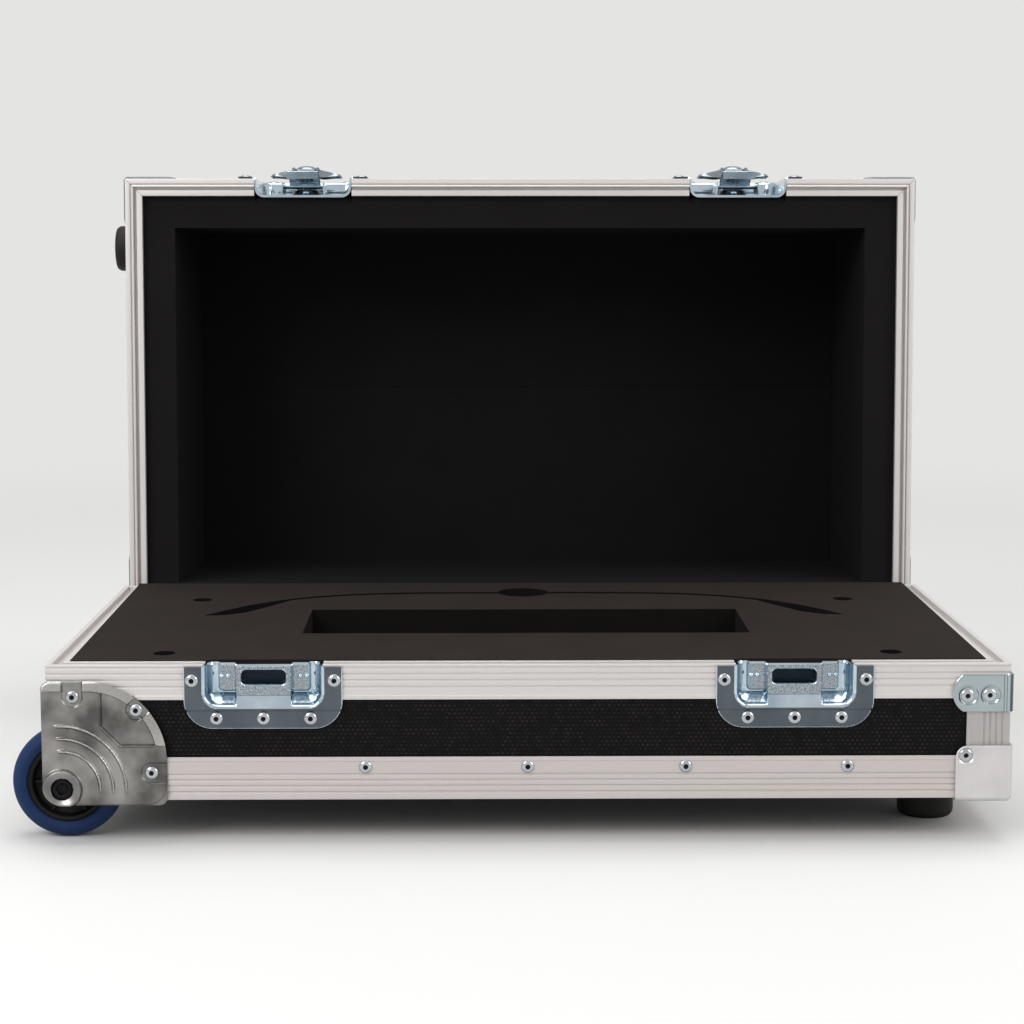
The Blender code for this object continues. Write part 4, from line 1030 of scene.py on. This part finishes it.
axle_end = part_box("wheel_axle_front")[1].y
head_radius = 0.0075
head_height = 0.0045
bolt_proud = 0.0004
head_edge = 0.0009
socket_mouth = 0.0004
socket_radius = 0.0041
socket_deep = 0.0030
shank_radius = 0.0049
for side in (front, rear):
    shape = bmesh.new()
    start = -face_gap - castor_plate - bolt_proud
    length = axle_end - rim_low.y - start
    outside = [
        (0, length), (shank_radius, length), (shank_radius, head_height), (head_radius, head_height),
        (head_radius, head_edge), (head_radius - head_edge, 0), (socket_radius + 0.0005, 0),
        (socket_radius, socket_mouth),
    ]
    socket = [(socket_radius, socket_mouth), (socket_radius, socket_deep), (0, socket_deep + 0.0010)]
    add_turned(shape, outside, (axle_x, start, axle_z), "Y", 48)
    add_turned(shape, socket, (axle_x, start, axle_z), "Y", 6)
    if side == rear:
        mirror_to_rear(shape)
    bolt = add_piece(f"axle_bolt_{side}", shape, in_base, "base", blackened)
    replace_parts(bolt, f"wheel_axle_{side}")


# Corner fittings: pressed steel caps over the three-way corners, plated and rubbed to satin,
# and bright zinc braces round the upright corners by the mouth, with seats for two rivets.
satin_plate, tree, shader = new_material("satin_plated_steel", {"Metallic": 0.9, "Roughness": 0.38})
speck = noise(tree, 1100.0)
paint(tree, shader, noise(tree, 55.0, 5.0), "C0BDBD", "DAD7D7")
vary_gloss(tree, shader, speck, 0.32, 0.46)
emboss(tree, shader, speck, 0.00004, 0.3)

def wrap_corner(outline, pitch, depth_at, planes, radius, outer, thickness):
    """Press one blank for each plane of a corner, join them and round them over its edges.

    The corner's own coordinates run in from its edges, with the case's faces at 0.
    """
    whole = bmesh.new()
    for first, second, normal in planes:
        flat = press(outline, pitch, depth_at)
        for vertex in flat.verts:
            a, depth, b = vertex.co
            place = [0, 0, 0]
            place[first], place[second], place[normal] = a, b, depth - outer
            vertex.co = place
        mesh = bpy.data.meshes.new("corner_blank")
        flat.to_mesh(mesh)
        flat.free()
        whole.from_mesh(mesh)
        bpy.data.meshes.remove(mesh)
    bmesh.ops.remove_doubles(whole, verts=whole.verts, dist=1e-6)
    core = radius - outer
    bent_axes = {plane[2] for plane in planes}
    for vertex in whole.verts:
        inner = Vector(
            max(value, core) if axis in bent_axes else value for axis, value in enumerate(vertex.co)
        )
        away = vertex.co - inner
        if sum(1 for value in away if value < -1e-9) > 1:
            vertex.co = inner + away.normalized() * radius
    bmesh.ops.recalc_face_normals(whole, faces=whole.faces)
    if sum((face.normal.x + face.normal.y + face.normal.z) * face.calc_area() for face in whole.faces) > 0:
        bmesh.ops.reverse_faces(whole, faces=whole.faces)
    bmesh.ops.solidify(whole, geom=whole.faces[:], thickness=thickness)
    return whole


def at_corner(station, level, upward):
    """Turn a corner's own coordinates into case coordinates."""
    x, y, inset_x, inset_y = station
    return Matrix.Translation((x, y, level)) @ Matrix.Diagonal((inset_x, inset_y, upward, 1))


cap_leg = 0.0405
cap_plate = 0.0018
cap_outer = cap_plate + face_gap
cap_edge = 0.0042
cap_free_round = 0.0085
cap_rivet = 0.0312
cap_end = cap_leg - cap_outer
seat_outer = 0.0060
cap_seat_depth = 0.0012
cap_outline = [(-cap_outer, -cap_outer), (cap_end, -cap_outer)]
cap_outline += arc_points((cap_end - cap_free_round, cap_end - cap_free_round), cap_free_round, 0, 90, 10)
cap_outline.append((-cap_outer, cap_end))


def cap_depth(a, b):
    """Flat cap whose edge turns down a little, with a seat for one rivet."""
    rim = min(cap_end - a, cap_end - b)
    corner_middle = cap_end - cap_free_round
    if a > corner_middle and b > corner_middle:
        rim = cap_free_round - math.hypot(a - corner_middle, b - corner_middle)
    depth = 0.0006 * ease(rim, 0.0012, 0) ** 2
    reach = math.hypot(a - cap_rivet, b - cap_rivet)
    return depth + cap_seat_depth * ease(reach, seat_outer, seat_outer - 0.0009)


brace_leg = 0.0433
brace_height = 0.0267
brace_plate = 0.0015
brace_outer = brace_plate + face_gap
brace_edge = 0.0042
brace_arc = 0.0156
brace_gap = 0.0076
brace_end = brace_leg - brace_outer
brace_rivets = ((0.0309, 0.0155), (0.0153, 0.0150))
brace_middle = brace_height / 2
brace_seat_depth = 0.0009
brace_line = 0.00025
ring_radius = 0.0070
bend_lines = (0.0032, 0.0050)
arc_reach = math.degrees(math.asin(brace_middle / brace_arc))
brace_outline = [(-brace_outer, 0)]
brace_outline += arc_points((brace_end - brace_arc, brace_middle), brace_arc, -arc_reach, arc_reach, 16)
brace_outline.append((-brace_outer, brace_height))


def brace_depth(a, b):
    """Brace with two ring-shaped seats and a fine bend line beside the corner."""
    depth = 0.0
    for rivet_a, rivet_b in brace_rivets:
        reach = math.hypot(a - rivet_a, b - rivet_b)
        depth += brace_seat_depth * ease(reach, 0.0066, 0.0056)
        depth -= brace_line * ease(abs(reach - ring_radius), 0.0007, 0)
    for bend in bend_lines:
        depth += brace_line * ease(abs(a - bend), 0.0006, 0)
    past_middle = max(0, a - brace_end + brace_arc)
    edge = min(b, brace_height - b, brace_arc - math.hypot(past_middle, b - brace_middle))
    return depth + 0.0005 * ease(edge, 0.0010, 0) ** 2


brace_zinc = zinc_skin("brace_zinc", "98A4A8", "B4BEC1", 0.14, 0.24, 0.00002)
around_corner = ((0, 2, 1), (1, 2, 0))
over_corner = ((0, 2, 1), (1, 2, 0), (0, 1, 2))
brace_shape = wrap_corner(
    brace_outline, 0.0005, brace_depth, around_corner, brace_edge, brace_outer, brace_plate
)
cap_shape = wrap_corner(cap_outline, 0.0008, cap_depth, over_corner, cap_edge, cap_outer, cap_plate)
# The brace's rounded corner faces take the darker flange plating: painted shade.
for face in brace_shape.faces:
    if face.normal.x < -0.25 and face.normal.y < -0.25:
        face.material_index = 1
fittings = []
for end in (front, rear):
    fittings.append(("base", in_base, right, end, f"base_corner_{{}}_{end}", joint_z, -1, base_z))
for hand in (left, right):
    for end in (front, rear):
        fittings.append(("lid", in_lid, hand, end, f"lid_corner_{{}}_{end}_{hand}", lid_z, 1, lid_top_z))
for body, space, hand, end, name, mouth_level, way, corner_level in fittings:
    station = corner_stations[hand, end]
    shape = brace_shape.copy()
    shape.transform(at_corner(station, mouth_level + way * brace_gap, way))
    node = name.format("brace")
    piece = add_piece(
        f"{node}_pressing", shape, space, body, brace_zinc, more=(zinc_plate,)
    )
    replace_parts(piece, node)
    shape = cap_shape.copy()
    shape.transform(at_corner(station, corner_level, -way))
    node = name.format("cap")
    piece = add_piece(f"{node}_pressing", shape, space, body, satin_plate)
    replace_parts(piece, node)
brace_shape.free()
cap_shape.free()


# Latches: pressed zinc dishes let into the lid's front, with a guide for the hook, a turning
# boss under a domed rivet, and two folding wings. They stand turned out, as after opening.
latch_high = 0.100
dish_sheet = 0.0019
latch_dish_top = 0.084
twist = 0.046
boss_outer = 0.0145
boss_inner = 0.0105
boss_face = 0.0080
bead_a = 0.0270
bead_low = 0.014
bead_high = 0.072
bead_half = 0.0030
bead_rise = 0.0012
channel_half = 0.0175
channel_reach = 0.001


def latch_inside(a, b):
    """Distance in from the lip of the lid's dish."""
    middle = (latch_dish_top - past_joint) / 2
    return -box_distance(a, b, (0, middle), lip_half, middle + past_joint, lip_corner)


def latch_rim(a, b):
    """Distance in from the flange's own edge."""
    middle = (latch_high - past_joint) / 2
    return -box_distance(a, b, (0, middle), flange_half, middle + past_joint, flange_round)


def latch_depth(a, b):
    """Depth of the lid's dish by place from its middle and the joint."""
    inside = latch_inside(a, b)
    if inside <= 0:
        return flange_face + edge_turn * ease(latch_rim(a, b), edge_turn * 1.4, 0)
    depth = dish_profile(inside)
    reach = math.hypot(a, b - twist)
    depth = min(depth, blend_depth(depth, boss_face, ease(reach, boss_outer, boss_inner)))
    along = abs(b - (bead_low + bead_high) / 2) - (bead_high - bead_low) / 2
    bead = math.hypot(max(along, 0), abs(abs(a) - bead_a))
    return depth - bead_rise * ease(bead, bead_half, 0.0008)


corner_arc = arc_points((flange_half - flange_round, latch_high - flange_round), flange_round, 0, 90, 14)
half_outline = [(flange_half, flange_joint_gap)] + corner_arc
latch_outline = half_outline + [(-a, b) for a, b in reversed(half_outline)]
latch_shape = press(latch_outline, 0.0007, latch_depth)
meet_joint(latch_shape, flange_joint_gap)
thicken(latch_shape, dish_sheet)
mark_pressing(latch_shape, latch_inside, latch_rim, (dish_floor, boss_face))
# Walls in the hook's channel take the dark copy of the plating: painted shade.
for face in latch_shape.faces:
    a, depth, b = face.calc_center_median()
    in_channel = abs(a) < channel_half and b < twist + boss_outer and depth > boss_face - channel_reach
    if in_channel and abs(face.normal.z) < 0.9:
        face.material_index = 3

wing_zinc = zinc_skin("wing_zinc", "6E767C", "A3ACB2", 0.16, 0.28, 0.00004)
guide_half = 0.0180
guide_lean = 0.0012
guide_plate = 0.0014
guide_low = 0.0016
guide_high = 0.033
guide_top = 0.0034
hook_pin_y = 0.0055
hook_pin_b = 0.028
pin_radius = 0.0021
carrier_half_x = 0.0083
carrier_half_z = 0.011
carrier_face = -0.0100
carrier_back = -0.0032
carrier_round = 0.0014
dome_profile = [
    (0.0090, -0.0006), (0.0090, 0.0005), (0.0082, 0.0016), (0.0064, 0.0026), (0.0040, 0.0033), (0, 0.0036),
]
shaft_profile = [
    (0, boss_face - 0.0006), (0.0096, boss_face - 0.0006), (0.0096, boss_face - 0.0018),
    (0.0060, boss_face - 0.0018), (0.0060, -0.0040), (0, -0.0040),
]
knuckle_radius = 0.0016
wing_axis_x = 0.0103
wing_axis_y = -0.0100
wing_half = 0.012
wing_slope = math.radians(12.7)
wing_start = 0.0006
wing_end = 0.0215
tip_round = 0.0060
past_hinge = 0.02
wing_edge = 0.0014
wing_root = 0.0050
wing_camber = 0.0005
hook_half = 0.0134


def add_ribbon(shape, path, half, thickness, bulge=None):
    """Add a strip of sheet along a path of (depth, height) points, bulged where asked."""
    columns = 28
    grid = []
    for index, (y, b) in enumerate(path):
        before = path[max(index - 1, 0)]
        after = path[min(index + 1, len(path) - 1)]
        along = Vector((after[0] - before[0], after[1] - before[1])).normalized()
        row = []
        for column in range(columns + 1):
            a = half * (2 * column / columns - 1)
            rise = bulge(a, b) if bulge else 0
            row.append(shape.verts.new((a, y - along.y * rise, b + along.x * rise)))
        grid.append(row)
    faces = []
    for one, two in zip(grid, grid[1:]):
        for column in range(columns):
            faces.append(shape.faces.new((one[column], one[column + 1], two[column + 1], two[column])))
    bmesh.ops.solidify(shape, geom=faces, thickness=thickness)


def smooth_path(points, radius, spacing):
    """Round a path's corners and fill its straights with evenly spaced points."""
    rounded = round_profile(points, radius, 6)
    path = [rounded[0]]
    for point in rounded[1:]:
        start = Vector(path[-1])
        step = Vector(point) - start
        count = max(1, round(step.length / spacing))
        path += [tuple(start + step * (index + 1) / count) for index in range(count)]
    return path


def add_guide(shape):
    """Two cheeks on the dish's floor that the hook's pin turns in."""
    for side in (-1, 1):
        outer_foot = guide_half + guide_lean
        add_prism(
            shape,
            [(side * guide_half, guide_top), (side * outer_foot, dish_floor + 0.0004),
             (side * (outer_foot - guide_plate), dish_floor + 0.0004),
             (side * (guide_half - guide_plate), guide_top)],
            lambda a, y, level: (a, y, guide_low + (guide_high - guide_low) * level),
        )


rest_tilt = math.radians(11)
plate_y = 0.0011
tip_b = -0.0090
lip_end_y = 0.0078
hook_path = smooth_path(
    [(hook_pin_y - 0.0010, hook_pin_b + 0.0012), (plate_y, hook_pin_b - 0.006), (plate_y - 0.0008, 0.012),
     (plate_y - 0.0008, tip_b + 0.0012), (lip_end_y, tip_b + 0.0014)],
    0.0026, 0.0010,
)


def hook_bulge(a, b):
    """A round-ended bulge that stiffens the hook's plate."""
    reach = math.hypot(a / 0.0088, (b - 0.0150) / 0.0100)
    return -0.0034 * ease(reach, 1.0, 0.45)


def wing_drop(a, b):
    """Wing seen from above: its edges turn down, deeper beside the hinge."""
    middle = wing_end / 2 - past_hinge
    edge = -box_distance(a, b, (middle, 0), wing_end / 2 + past_hinge, wing_half, tip_round)
    deep = wing_edge + wing_root * ease(a, wing_end, 0.002)
    return deep * ease(edge, 0.0019, 0) - wing_camber * ease(abs(b), wing_half * 0.7, 0.0)


wing_outline = [(wing_start, -wing_half)]
wing_outline += arc_points((wing_end - tip_round, -wing_half + tip_round), tip_round, -90, 0, 8)
wing_outline += arc_points((wing_end - tip_round, wing_half - tip_round), tip_round, 0, 90, 8)
wing_outline.append((wing_start, wing_half))
wing_shape = press(wing_outline, 0.0006, wing_drop)
thicken(wing_shape, 0.0011)
add_turned(
    wing_shape, [(0, -wing_half), (knuckle_radius, -wing_half), (knuckle_radius, wing_half), (0, wing_half)],
    (0, 0, 0), "Z", 16,
)

for side, middle in ((left, -latch_x), (right, latch_x)):
    shape = latch_shape.copy()
    pressed = len(shape.faces)
    add_guide(shape)
    # The cheeks take the lit copy of the plating: painted highlight.
    shape.faces.ensure_lookup_table()
    for face in shape.faces[pressed:]:
        face.material_index = 1
    shape.transform(Matrix.Translation((middle, 0, lid_z)))
    dish = add_piece(
        f"latch_pressing_{side}", shape, in_lid, "lid", zinc_plate, more=pressing_skins
    )
    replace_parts(dish, f"latch_dish_{side}")

    shape = bmesh.new()
    add_ribbon(shape, hook_path, hook_half, 0.0022, hook_bulge)
    add_turned(
        shape, [(0, -guide_half + 0.0003), (pin_radius, -guide_half + 0.0003),
                (pin_radius, guide_half - 0.0003), (0, guide_half - 0.0003)],
        (0, hook_pin_y, hook_pin_b), "X", 20,
    )
    turn_out = Matrix.Translation((0, hook_pin_y, hook_pin_b))
    turn_out = turn_out @ Matrix.Rotation(-rest_tilt, 4, "X") @ turn_out.inverted()
    shape.transform(Matrix.Translation((middle, 0, lid_z)) @ turn_out)
    # The whole hook takes the lit copy of the plating: painted highlight.
    hook = add_piece(f"hook_{side}", shape, in_lid, f"latch_{side}_hook", zinc_painted_highlight)
    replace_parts(hook, f"latch_hook_{side}")

    shape = bmesh.new()
    bmesh.ops.create_cube(shape, size=1)
    carrier_depth = carrier_back - carrier_face
    shape.transform(
        Matrix.Translation((0, carrier_face + carrier_depth / 2, twist))
        @ Matrix.Diagonal((2 * carrier_half_x, carrier_depth, 2 * carrier_half_z, 1))
    )
    bmesh.ops.bevel(
        shape, geom=shape.edges[:], offset=carrier_round, segments=4, profile=0.5, affect="EDGES"
    )
    dome = [(radius, carrier_face - rise) for radius, rise in dome_profile]
    add_turned(shape, dome, (0, 0, twist), "Y", 40)
    add_turned(shape, shaft_profile, (0, 0, twist), "Y", 40)
    shape.transform(Matrix.Translation((middle, 0, lid_z)))
    cam = add_piece(f"cam_{side}", shape, in_lid, f"latch_{side}_cam", wing_zinc)
    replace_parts(cam, f"latch_cam_{side}")

    for hand, way in (("a", -1), ("b", 1)):
        shape = wing_shape.copy()
        shape.transform(
            Matrix.Translation((middle + way * wing_axis_x, wing_axis_y, lid_z + twist))
            @ Matrix.Rotation(way * wing_slope, 4, "Z") @ Matrix.Diagonal((way, 1, 1, 1))
        )
        name = f"latch_wing_{side}_{hand}"
        wing = add_piece(f"{name}_blade", shape, in_lid, f"latch_{side}_wing_{hand}", wing_zinc)
        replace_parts(wing, name)
latch_shape.free()
wing_shape.free()


# Rivets: 4.8 mm blind rivets of plated steel, set with a hand tool. Each leaves a low domed
# flange with a hole in its middle, where its mandrel broke off. The mandrel's end sits a little
# sunk and is painted black as the hole's painted shade.
rivet_zinc = zinc_skin("rivet_zinc", "9BA1A6", "C9CDD0", 0.16, 0.28, 0.00002)
rivet_profile = [
    (0.0047, 0.0010), (0.0047, -0.0003), (0.0044, -0.0008), (0.0034, -0.0014), (0.0024, -0.0017),
    (0.0018, -0.0016), (0.0016, -0.0012), (0.0016, -0.0002),
]
mandrel_profile = [(0.0017, -0.0003), (0.0013, -0.0007), (0, -0.0008)]
fitting_flat = 0.62
keeper_rivet_a = 0.0498
keeper_rivet_b = 0.0110
flange_rivet_a = 0.0330
keeper_row_b = 0.0382
latch_row_b = 0.0925
edge_rivet_inset = 0.0238
edge_rivet_x = (-0.1152, -0.0010, 0.1103, 0.2245)
lid_rivet_x = (-0.2270, -0.1152, -0.0010, 0.1103, 0.2245)
side_rivet_y = (0.110, 0.182, 0.254)
castor_side_y = (0.0125, 0.0445)
hinge_sheet = 0.0015
hinge_row_b = 0.0430
leaf_sheet = 0.0023
leaf_rivet_a = 0.0290
leaf_rows_b = (0.0130, 0.0340)
face_axes = {front: "Y", rear: "-Y", left: "X", right: "-X", "top": "-Z", "bottom": "Z"}
brace_seat = brace_outer - brace_seat_depth
cap_seat = cap_outer - cap_seat_depth

base_rivets, lid_rivets = [], []
for middle in (-latch_x, latch_x):
    for a in (-keeper_rivet_a, keeper_rivet_a):
        base_rivets.append(((middle + a, flange_face, joint_z - keeper_rivet_b), front, 1))
        lid_rivets.append(((middle + a, flange_face, lid_z + keeper_rivet_b), front, 1))
    for a in (-flange_rivet_a, 0, flange_rivet_a):
        base_rivets.append(((middle + a, flange_face + crank, joint_z - keeper_row_b), front, 1))
        lid_rivets.append(((middle + a, flange_face, lid_z + latch_row_b), front, 1))
    for a in (-keeper_rivet_a, keeper_rivet_a):
        base_rivets.append(((middle + a, case_depth + hinge_sheet, joint_z - keeper_rivet_b), rear, 1))
    for a in (-flange_rivet_a, 0, flange_rivet_a):
        base_rivets.append(((middle + a, case_depth + hinge_sheet, joint_z - hinge_row_b), rear, 1))
    for a in (-leaf_rivet_a, leaf_rivet_a):
        for b in leaf_rows_b:
            lid_rivets.append(((middle + a, case_depth + leaf_sheet, lid_z + b), rear, 1))
for (a, b), _ in rivet_seats:
    level = -face_gap - castor_plate + seat_depth
    base_rivets += [((a, level, b), front, 1), ((a, case_depth - level, b), rear, 1)]
for y in castor_side_y:
    place = (castor_left, y, rivet_seats[0][0][1])
    base_rivets += [(place, left, fitting_flat), ((place[0], case_depth - y, place[2]), left, fitting_flat)]
for rivets, xs, level, corner_level, way, outside in (
    (base_rivets, edge_rivet_x, base_z + edge_rivet_inset, base_z, 1, "bottom"),
    (lid_rivets, lid_rivet_x, lid_top_z - edge_rivet_inset, lid_top_z, -1, "top"),
):
    for x in xs:
        rivets += [((x, lip_step, level), front, 1), ((x, case_depth - lip_step, level), rear, 1)]
        for y in (edge_rivet_inset, case_depth - edge_rivet_inset):
            rivets.append(((x, y, corner_level + way * lip_step), outside, 1))
    for y in side_rivet_y:
        for x, face, sign in ((-case_half, left, 1), (case_half, right, -1)):
            rivets.append(((x + sign * lip_step, y, level), face, 1))
            rivets.append(((x + sign * edge_rivet_inset, y, corner_level + way * lip_step), outside, 1))
for rivets, hands, mouth_level, way, corner_level, outside in (
    (base_rivets, (right,), joint_z, -1, base_z, "bottom"),
    (lid_rivets, (left, right), lid_z, 1, lid_top_z, "top"),
):
    for hand in hands:
        for end in (front, rear):
            x, y, inset_x, inset_y = corner_stations[hand, end]
            for a, b in brace_rivets:
                level = mouth_level + way * (brace_gap + b)
                rivets.append(((x + inset_x * a, y - inset_y * brace_seat, level), end, fitting_flat))
                rivets.append(((x - inset_x * brace_seat, y + inset_y * a, level), hand, fitting_flat))
            a, level = cap_rivet, corner_level - way * cap_rivet
            rivets += [
                ((x + inset_x * a, y - inset_y * cap_seat, level), end, fitting_flat),
                ((x - inset_x * cap_seat, y + inset_y * a, level), hand, fitting_flat),
                ((x + inset_x * a, y + inset_y * a, corner_level + way * cap_seat), outside, fitting_flat),
            ]
for body, space, rivets in (("base", in_base, base_rivets), ("lid", in_lid, lid_rivets)):
    heads, mandrels = bmesh.new(), bmesh.new()
    for place, face, flat in rivets:
        add_turned(heads, [(r, h * flat) for r, h in rivet_profile], place, face_axes[face], 24)
        add_turned(mandrels, [(r, h * flat) for r, h in mandrel_profile], place, face_axes[face], 12)
    add_piece(f"{body}_rivet_heads", heads, space, body, rivet_zinc)
    # The mandrels take blackened steel: painted shade in the rivet's hole.
    add_piece(f"{body}_rivet_mandrels_painted_shade", mandrels, space, body, blackened)


# Hinges: a dished base half with its pin, and a leaf on the lid, in the same plated steel.
# They keep the CAD's shape, and their rivets are among those above.
hinge_zinc = zinc_skin("zinc_plated_steel_hinges", "6F7A82", "98A3AA", 0.16, 0.28, 0.00002)
for side in (left, right):
    for half, space, body in (("base", in_base, "base"), ("leaf", in_lid, "lid")):
        shape = bmesh.new()
        shape.from_mesh(frame["nodes"][f"hinge_{half}_{side}"].data)
        shape.transform(space.inverted())
        hinge = add_piece(
            f"hinge_{half}_plate_{side}", shape, space, body, hinge_zinc
        )
        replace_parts(hinge, f"hinge_{half}_{side}")


# Feet: black rubber buffers, each held by a sunk screw. One stands on the lid's left end,
# for standing the case upright with its wheels.
black_rubber, tree, shader = new_material("black_rubber", {"Roughness": 0.6, "Specular IOR Level": 0.25})
grain = noise(tree, 420.0, 4.0)
paint(tree, shader, grain, "100F0E", "242220")
emboss(tree, shader, grain, 0.00008, 0.5)

def foot_shape(centre, axis, radius, height):
    """Turned foot from its root, at 0, to its tip, with a recess in its tip for a washer and screw."""
    shape = bmesh.new()
    profile = [
        (radius, 0), (radius, 0.0016), (radius - 0.0006, 0.0030), (radius - 0.0010, height - 0.0030),
        (radius - 0.0030, height), (0.0095, height), (0.0082, height - 0.0090), (0, height - 0.0090),
    ]
    add_turned(shape, round_profile(profile, 0.0013), centre, axis, 64)
    return shape


for side in (front, rear):
    low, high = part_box(f"base_foot_{side}")
    middle = in_base.inverted() @ ((low + high) / 2)
    shape = foot_shape((middle.x, middle.y, high.z), "-Z", (high.x - low.x) / 2, high.z - low.z)
    foot = add_piece(f"foot_{side}", shape, in_base, "base", black_rubber)
    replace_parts(foot, f"base_foot_{side}")
low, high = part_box("lid_side_foot")
middle = in_lid.inverted() @ ((low + high) / 2)
side_radius = (high.z - low.z) / 2
shape = foot_shape(
    (high.x - in_base.translation.x, middle.y, middle.z), "-X", side_radius, high.x - low.x
)
foot = add_piece("lid_foot", shape, in_lid, "lid", black_rubber)
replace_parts(foot, "lid_side_foot")


# Foam: closed-cell polyethylene, cut with a blade, so that its faces are matt with fine
# cells and its edges stay crisp. The base's block is charcoal, the lid's linings are black,
# and the walls and floors of the block's cuts are painted darker as painted shade.
def foam_material(name, dark, light):
    """Matt foam with fine cells and a faint cloud in its tone."""
    material, tree, shader = new_material(name, {"Roughness": 0.95, "Specular IOR Level": 0.15})
    spot = add_node(tree, "ShaderNodeNewGeometry")
    cells = add_node(tree, "ShaderNodeTexVoronoi", {"Vector": spot.outputs["Position"], "Scale": 900.0})
    paint(tree, shader, noise(tree, 24.0, 6.0), dark, light)
    emboss(tree, shader, cells.outputs["Distance"], 0.00018, 0.5)
    return material

charcoal_foam = foam_material("charcoal_foam", "1B1614", "261F1B")
shaded_cut_foam = foam_material("charcoal_foam_cut", "0B0908", "130F0D")
black_foam = foam_material("black_foam", "0F0D0D", "151313")
foam_front_rise = 0.0006
foam_rear_rise = 0.0042
cut_inset = 0.002
cut_margin = 0.0007
for node, body, skins, slot in (
    ("base_foam_block", "base", (charcoal_foam, shaded_cut_foam), "grey_foam"),
    ("lid_foam_lining", "lid", (black_foam,), "black_foam"),
    ("lid_foam_sheet_front", "lid", (black_foam,), "black_foam"),
    ("lid_foam_sheet_rear", "lid", (black_foam,), "black_foam"),
):
    shape = bmesh.new()
    shape.from_mesh(frame["nodes"][node].data)
    if node == "base_foam_block":
        low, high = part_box(node)
        for vertex in shape.verts:
            share = (vertex.co.y - low.y) / (high.y - low.y)
            top = joint_z + foam_front_rise + (foam_rear_rise - foam_front_rise) * share
            vertex.co.z += (top - high.z) * (vertex.co.z - low.z) / (high.z - low.z)
    bmesh.ops.dissolve_limit(
        shape, angle_limit=math.radians(1), verts=shape.verts[:], edges=shape.edges[:]
    )
    if node == "base_foam_block":
        for face in shape.faces:
            spot = face.calc_center_median()
            inset = min(spot.x - low.x, high.x - spot.x, spot.y - low.y, high.y - spot.y)
            # Faces inside the block's cuts take the darker foam: painted shade.
            if inset > cut_inset and low.z + cut_inset < spot.z < joint_z + foam_front_rise - cut_margin:
                face.material_index = 1
    foam = add_piece(
        f"{node}_cut", shape, Matrix(), body, skins[0], math.radians(50), more=skins[1:]
    )
    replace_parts(foam, node)

filler_half = 0.0413
filler_front = 0.0166
filler_back = 0.0253
filler_low = rim_cap + 0.0004
filler_high = 0.0842
filler_round = 0.004
for side, middle in ((left, -latch_x), (right, latch_x)):
    shape = bmesh.new()
    outline = round_corners(
        [(-filler_half, filler_low), (filler_half, filler_low), (filler_half, filler_high),
         (-filler_half, filler_high)], filler_round, 6,
    )
    add_prism(
        shape, outline,
        lambda a, b, level: (middle + a, filler_front + (filler_back - filler_front) * level, lid_z + b),
    )
    filler = add_piece(f"latch_foam_{side}", shape, in_lid, "lid", black_foam)
